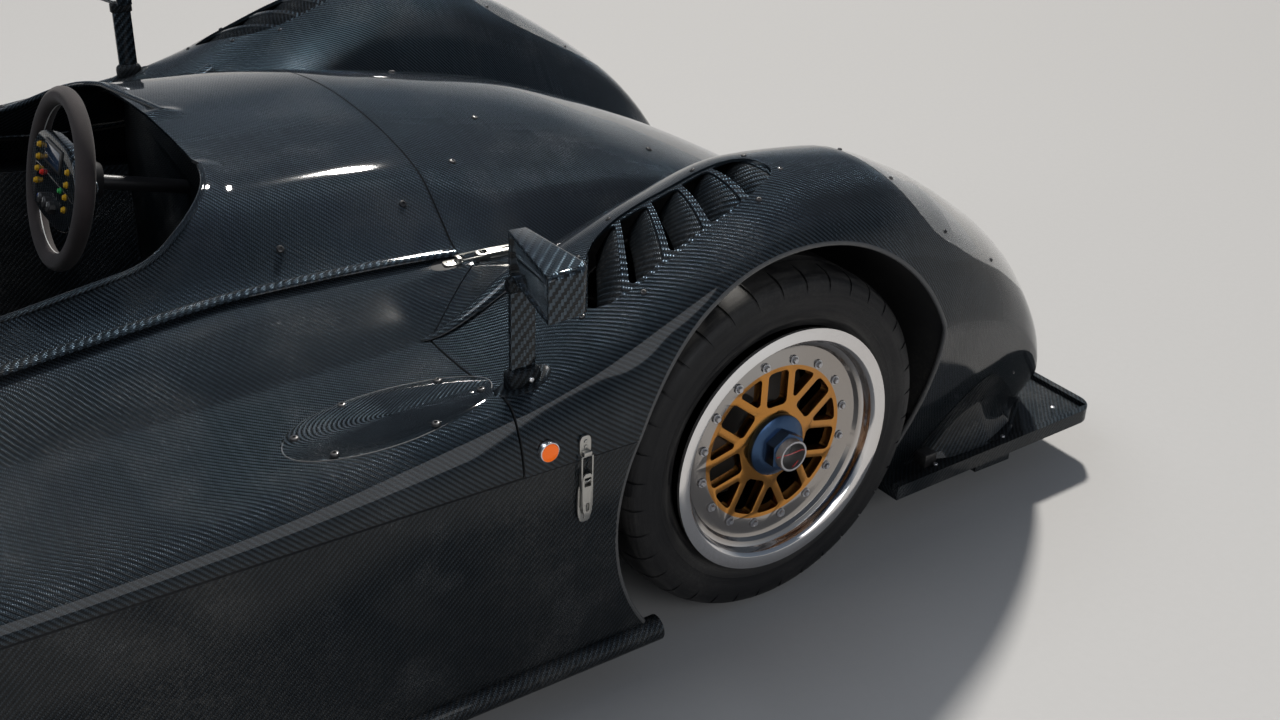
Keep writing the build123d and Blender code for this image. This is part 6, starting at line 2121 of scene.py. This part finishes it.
def set_camera():
    """The camera at the photograph's viewing angle."""
    yaw, pitch, roll = radians(CAMERA_YAW), radians(CAMERA_PITCH), radians(CAMERA_ROLL)
    ahead = Vector((sin(yaw) * cos(pitch), cos(yaw) * cos(pitch), -sin(pitch)))
    level = Vector((cos(yaw), -sin(yaw), 0))
    upright = level.cross(ahead)
    right = level * cos(roll) + upright * sin(roll)
    up = upright * cos(roll) - level * sin(roll)
    bpy.ops.object.camera_add()
    camera = bpy.context.object
    camera.name = "camera"
    turn = Matrix((right, up, -ahead)).transposed().to_4x4()
    camera.matrix_world = Matrix.Translation(CAMERA_PLACE) @ turn
    camera.data.sensor_width = SENSOR_WIDTH
    camera.data.lens = FOCAL_PIXELS / IMAGE_WIDTH * SENSOR_WIDTH
    camera.data.clip_end = 200
    bpy.context.scene.camera = camera


def build_stage():
    select()
    bpy.ops.mesh.primitive_plane_add(size=60)
    floor = added("studio_floor")
    floor.data.materials.append(MATERIALS["floor_paint"])
    scene = bpy.context.scene
    set_camera()
    for name, place, target, size, size_y, power, colour in SOFT_LAMPS:
        lamp = lamp_at("AREA", name, place, target, power, colour)
        lamp.shape = "RECTANGLE"
        lamp.size, lamp.size_y = size, size_y
    sun = lamp_at("SUN", "key_light", SUN_PLACE, SUN_TARGET, SUN_STRENGTH, SUN_COLOUR)
    sun.angle = radians(SUN_WIDTH)
    world = bpy.data.worlds.new("studio")
    scene.world = world
    world.use_nodes = True
    tree = world.node_tree
    back = tree.nodes["Background"]
    height = node(tree, "SeparateXYZ", {0: node(tree, "TexCoord").outputs["Generated"]}).outputs["Z"]
    low = blend(tree, ramp(tree, height, 0.01, 0.26), (0.52, 0.525, 0.53), (0.12, 0.145, 0.18))
    tree.links.new(blend(tree, ramp(tree, height, 0.30, 1.0), low, (0.085, 0.10, 0.13)), back.inputs["Color"])
    scene.view_settings.view_transform = "Standard"


class CAR_OT_finishes(bpy.types.Operator):
    """Make the finish of every surface."""

    bl_idname = "car.finishes"
    bl_label = "Finishes"

    def execute(self, context):
        make_materials()
        return {"FINISHED"}


class CAR_OT_front_bodywork(bpy.types.Operator):
    """Build the nose with its fenders and the clear headlamp covers."""

    bl_idname = "car.front_bodywork"
    bl_label = "Front bodywork"

    def execute(self, context):
        build_front_bodywork()
        return {"FINISHED"}


class CAR_OT_cockpit_surround(bpy.types.Operator):
    """Build the surround with its rolled rim."""

    bl_idname = "car.cockpit_surround"
    bl_label = "Cockpit surround"

    def execute(self, context):
        build_surround()
        return {"FINISHED"}


class CAR_OT_side_panels(bpy.types.Operator):
    """Build the side pods, the flanges under their seams and the lower side panels."""

    bl_idname = "car.side_panels"
    bl_label = "Side panels"

    def execute(self, context):
        build_side_pods()
        build_seam_flanges()
        build_side_skirts()
        return {"FINISHED"}


class CAR_OT_rear_bodywork(bpy.types.Operator):
    """Build the engine cover, the rear fenders and the tail."""

    bl_idname = "car.rear_bodywork"
    bl_label = "Rear bodywork"

    def execute(self, context):
        build_rear_bodywork()
        return {"FINISHED"}


class CAR_OT_arch_edges(bpy.types.Operator):
    """Build the rolled lips of the wheel arches."""

    bl_idname = "car.arch_edges"
    bl_label = "Arch edges"

    def execute(self, context):
        build_arch_edges()
        return {"FINISHED"}


class CAR_OT_louvres(bpy.types.Operator):
    """Build the louvre panels with their blades and screws."""

    bl_idname = "car.louvres"
    bl_label = "Louvres"

    def execute(self, context):
        build_louvres()
        return {"FINISHED"}


class CAR_OT_skin_details(bpy.types.Operator):
    """Build duct covers, ribs, beads, bezels and fasteners."""

    bl_idname = "car.skin_details"
    bl_label = "Skin details"

    def execute(self, context):
        build_skin_details()
        return {"FINISHED"}


class CAR_OT_latches(bpy.types.Operator):
    """Build the toggle latches and the dark discs beside them that paint the shadow of a pocket."""

    bl_idname = "car.latches"
    bl_label = "Latches"

    def execute(self, context):
        build_latches()
        return {"FINISHED"}


class CAR_OT_headlamps(bpy.types.Operator):
    """Build the lamps behind the clear covers."""

    bl_idname = "car.headlamps"
    bl_label = "Headlamps"

    def execute(self, context):
        build_headlamps()
        return {"FINISHED"}


class CAR_OT_tyres(bpy.types.Operator):
    """Build the four tyres."""

    bl_idname = "car.tyres"
    bl_label = "Tyres"

    def execute(self, context):
        build_tyres()
        return {"FINISHED"}


class CAR_OT_rims(bpy.types.Operator):
    """Dress the four rims and build their bolts."""

    bl_idname = "car.rims"
    bl_label = "Rims"

    def execute(self, context):
        build_rims()
        return {"FINISHED"}


class CAR_OT_hubs(bpy.types.Operator):
    """Dress the hubs with discs and nuts, and build their clips."""

    bl_idname = "car.hubs"
    bl_label = "Hubs"

    def execute(self, context):
        build_hubs()
        return {"FINISHED"}


class CAR_OT_mirrors(bpy.types.Operator):
    """Dress both mirrors and build their glasses and feet."""

    bl_idname = "car.mirrors"
    bl_label = "Mirrors"

    def execute(self, context):
        build_mirrors()
        return {"FINISHED"}


class CAR_OT_steering_wheel(bpy.types.Operator):
    """Build the steering wheel with its grip, screen and buttons."""

    bl_idname = "car.steering_wheel"
    bl_label = "Steering wheel"

    def execute(self, context):
        build_steering_wheel()
        return {"FINISHED"}


class CAR_OT_harness(bpy.types.Operator):
    """Build the belts and their buckle."""

    bl_idname = "car.harness"
    bl_label = "Harness"

    def execute(self, context):
        build_harness()
        return {"FINISHED"}


class CAR_OT_splitter(bpy.types.Operator):
    """Dress the splitter and build its fairings."""

    bl_idname = "car.splitter"
    bl_label = "Splitter"

    def execute(self, context):
        build_splitter()
        return {"FINISHED"}


class CAR_OT_frame_pieces(bpy.types.Operator):
    """Dress the pieces whose shape is the frame's own."""

    bl_idname = "car.frame_pieces"
    bl_label = "Frame pieces"

    def execute(self, context):
        build_plain_dressings()
        return {"FINISHED"}


class CAR_OT_head_pad(bpy.types.Operator):
    """Build the padded head rest."""

    bl_idname = "car.head_pad"
    bl_label = "Head pad"

    def execute(self, context):
        build_head_pad()
        return {"FINISHED"}


class CAR_OT_stage(bpy.types.Operator):
    """Set the floor, the camera and the lights."""

    bl_idname = "car.stage"
    bl_label = "Stage"

    def execute(self, context):
        build_stage()
        return {"FINISHED"}


STEPS = (
    CAR_OT_finishes,
    CAR_OT_front_bodywork,
    CAR_OT_cockpit_surround,
    CAR_OT_side_panels,
    CAR_OT_rear_bodywork,
    CAR_OT_arch_edges,
    CAR_OT_louvres,
    CAR_OT_skin_details,
    CAR_OT_latches,
    CAR_OT_headlamps,
    CAR_OT_tyres,
    CAR_OT_rims,
    CAR_OT_hubs,
    CAR_OT_mirrors,
    CAR_OT_steering_wheel,
    CAR_OT_harness,
    CAR_OT_splitter,
    CAR_OT_frame_pieces,
    CAR_OT_head_pad,
    CAR_OT_stage,
)


class CAR_PT_pieces(bpy.types.Panel):
    """Sizes, colours and one button for each group of pieces."""

    bl_idname = "CAR_PT_pieces"
    bl_label = "Race car"
    bl_space_type = "VIEW_3D"
    bl_region_type = "UI"
    bl_category = "Race Car"

    def draw(self, context):
        for values in (context.scene.car_sizes, context.scene.car_colours):
            for key in values.bl_rna.properties.keys():
                if key not in ("rna_type", "name"):
                    self.layout.prop(values, key)
        for step in STEPS:
            self.layout.operator(step.bl_idname)


CLASSES = (CarSizes, CarColours, *STEPS, CAR_PT_pieces)


def register():
    for kind in CLASSES:
        bpy.utils.register_class(kind)
    bpy.types.Scene.car_sizes = PointerProperty(type=CarSizes)
    bpy.types.Scene.car_colours = PointerProperty(type=CarColours)


def unregister():
    del bpy.types.Scene.car_colours
    del bpy.types.Scene.car_sizes
    for kind in reversed(CLASSES):
        bpy.utils.unregister_class(kind)


def main():
    register()
    for step in STEPS:
        group_name, operator_name = step.bl_idname.split(".")
        getattr(getattr(bpy.ops, group_name), operator_name)()


if __name__ == "__main__":
    main()
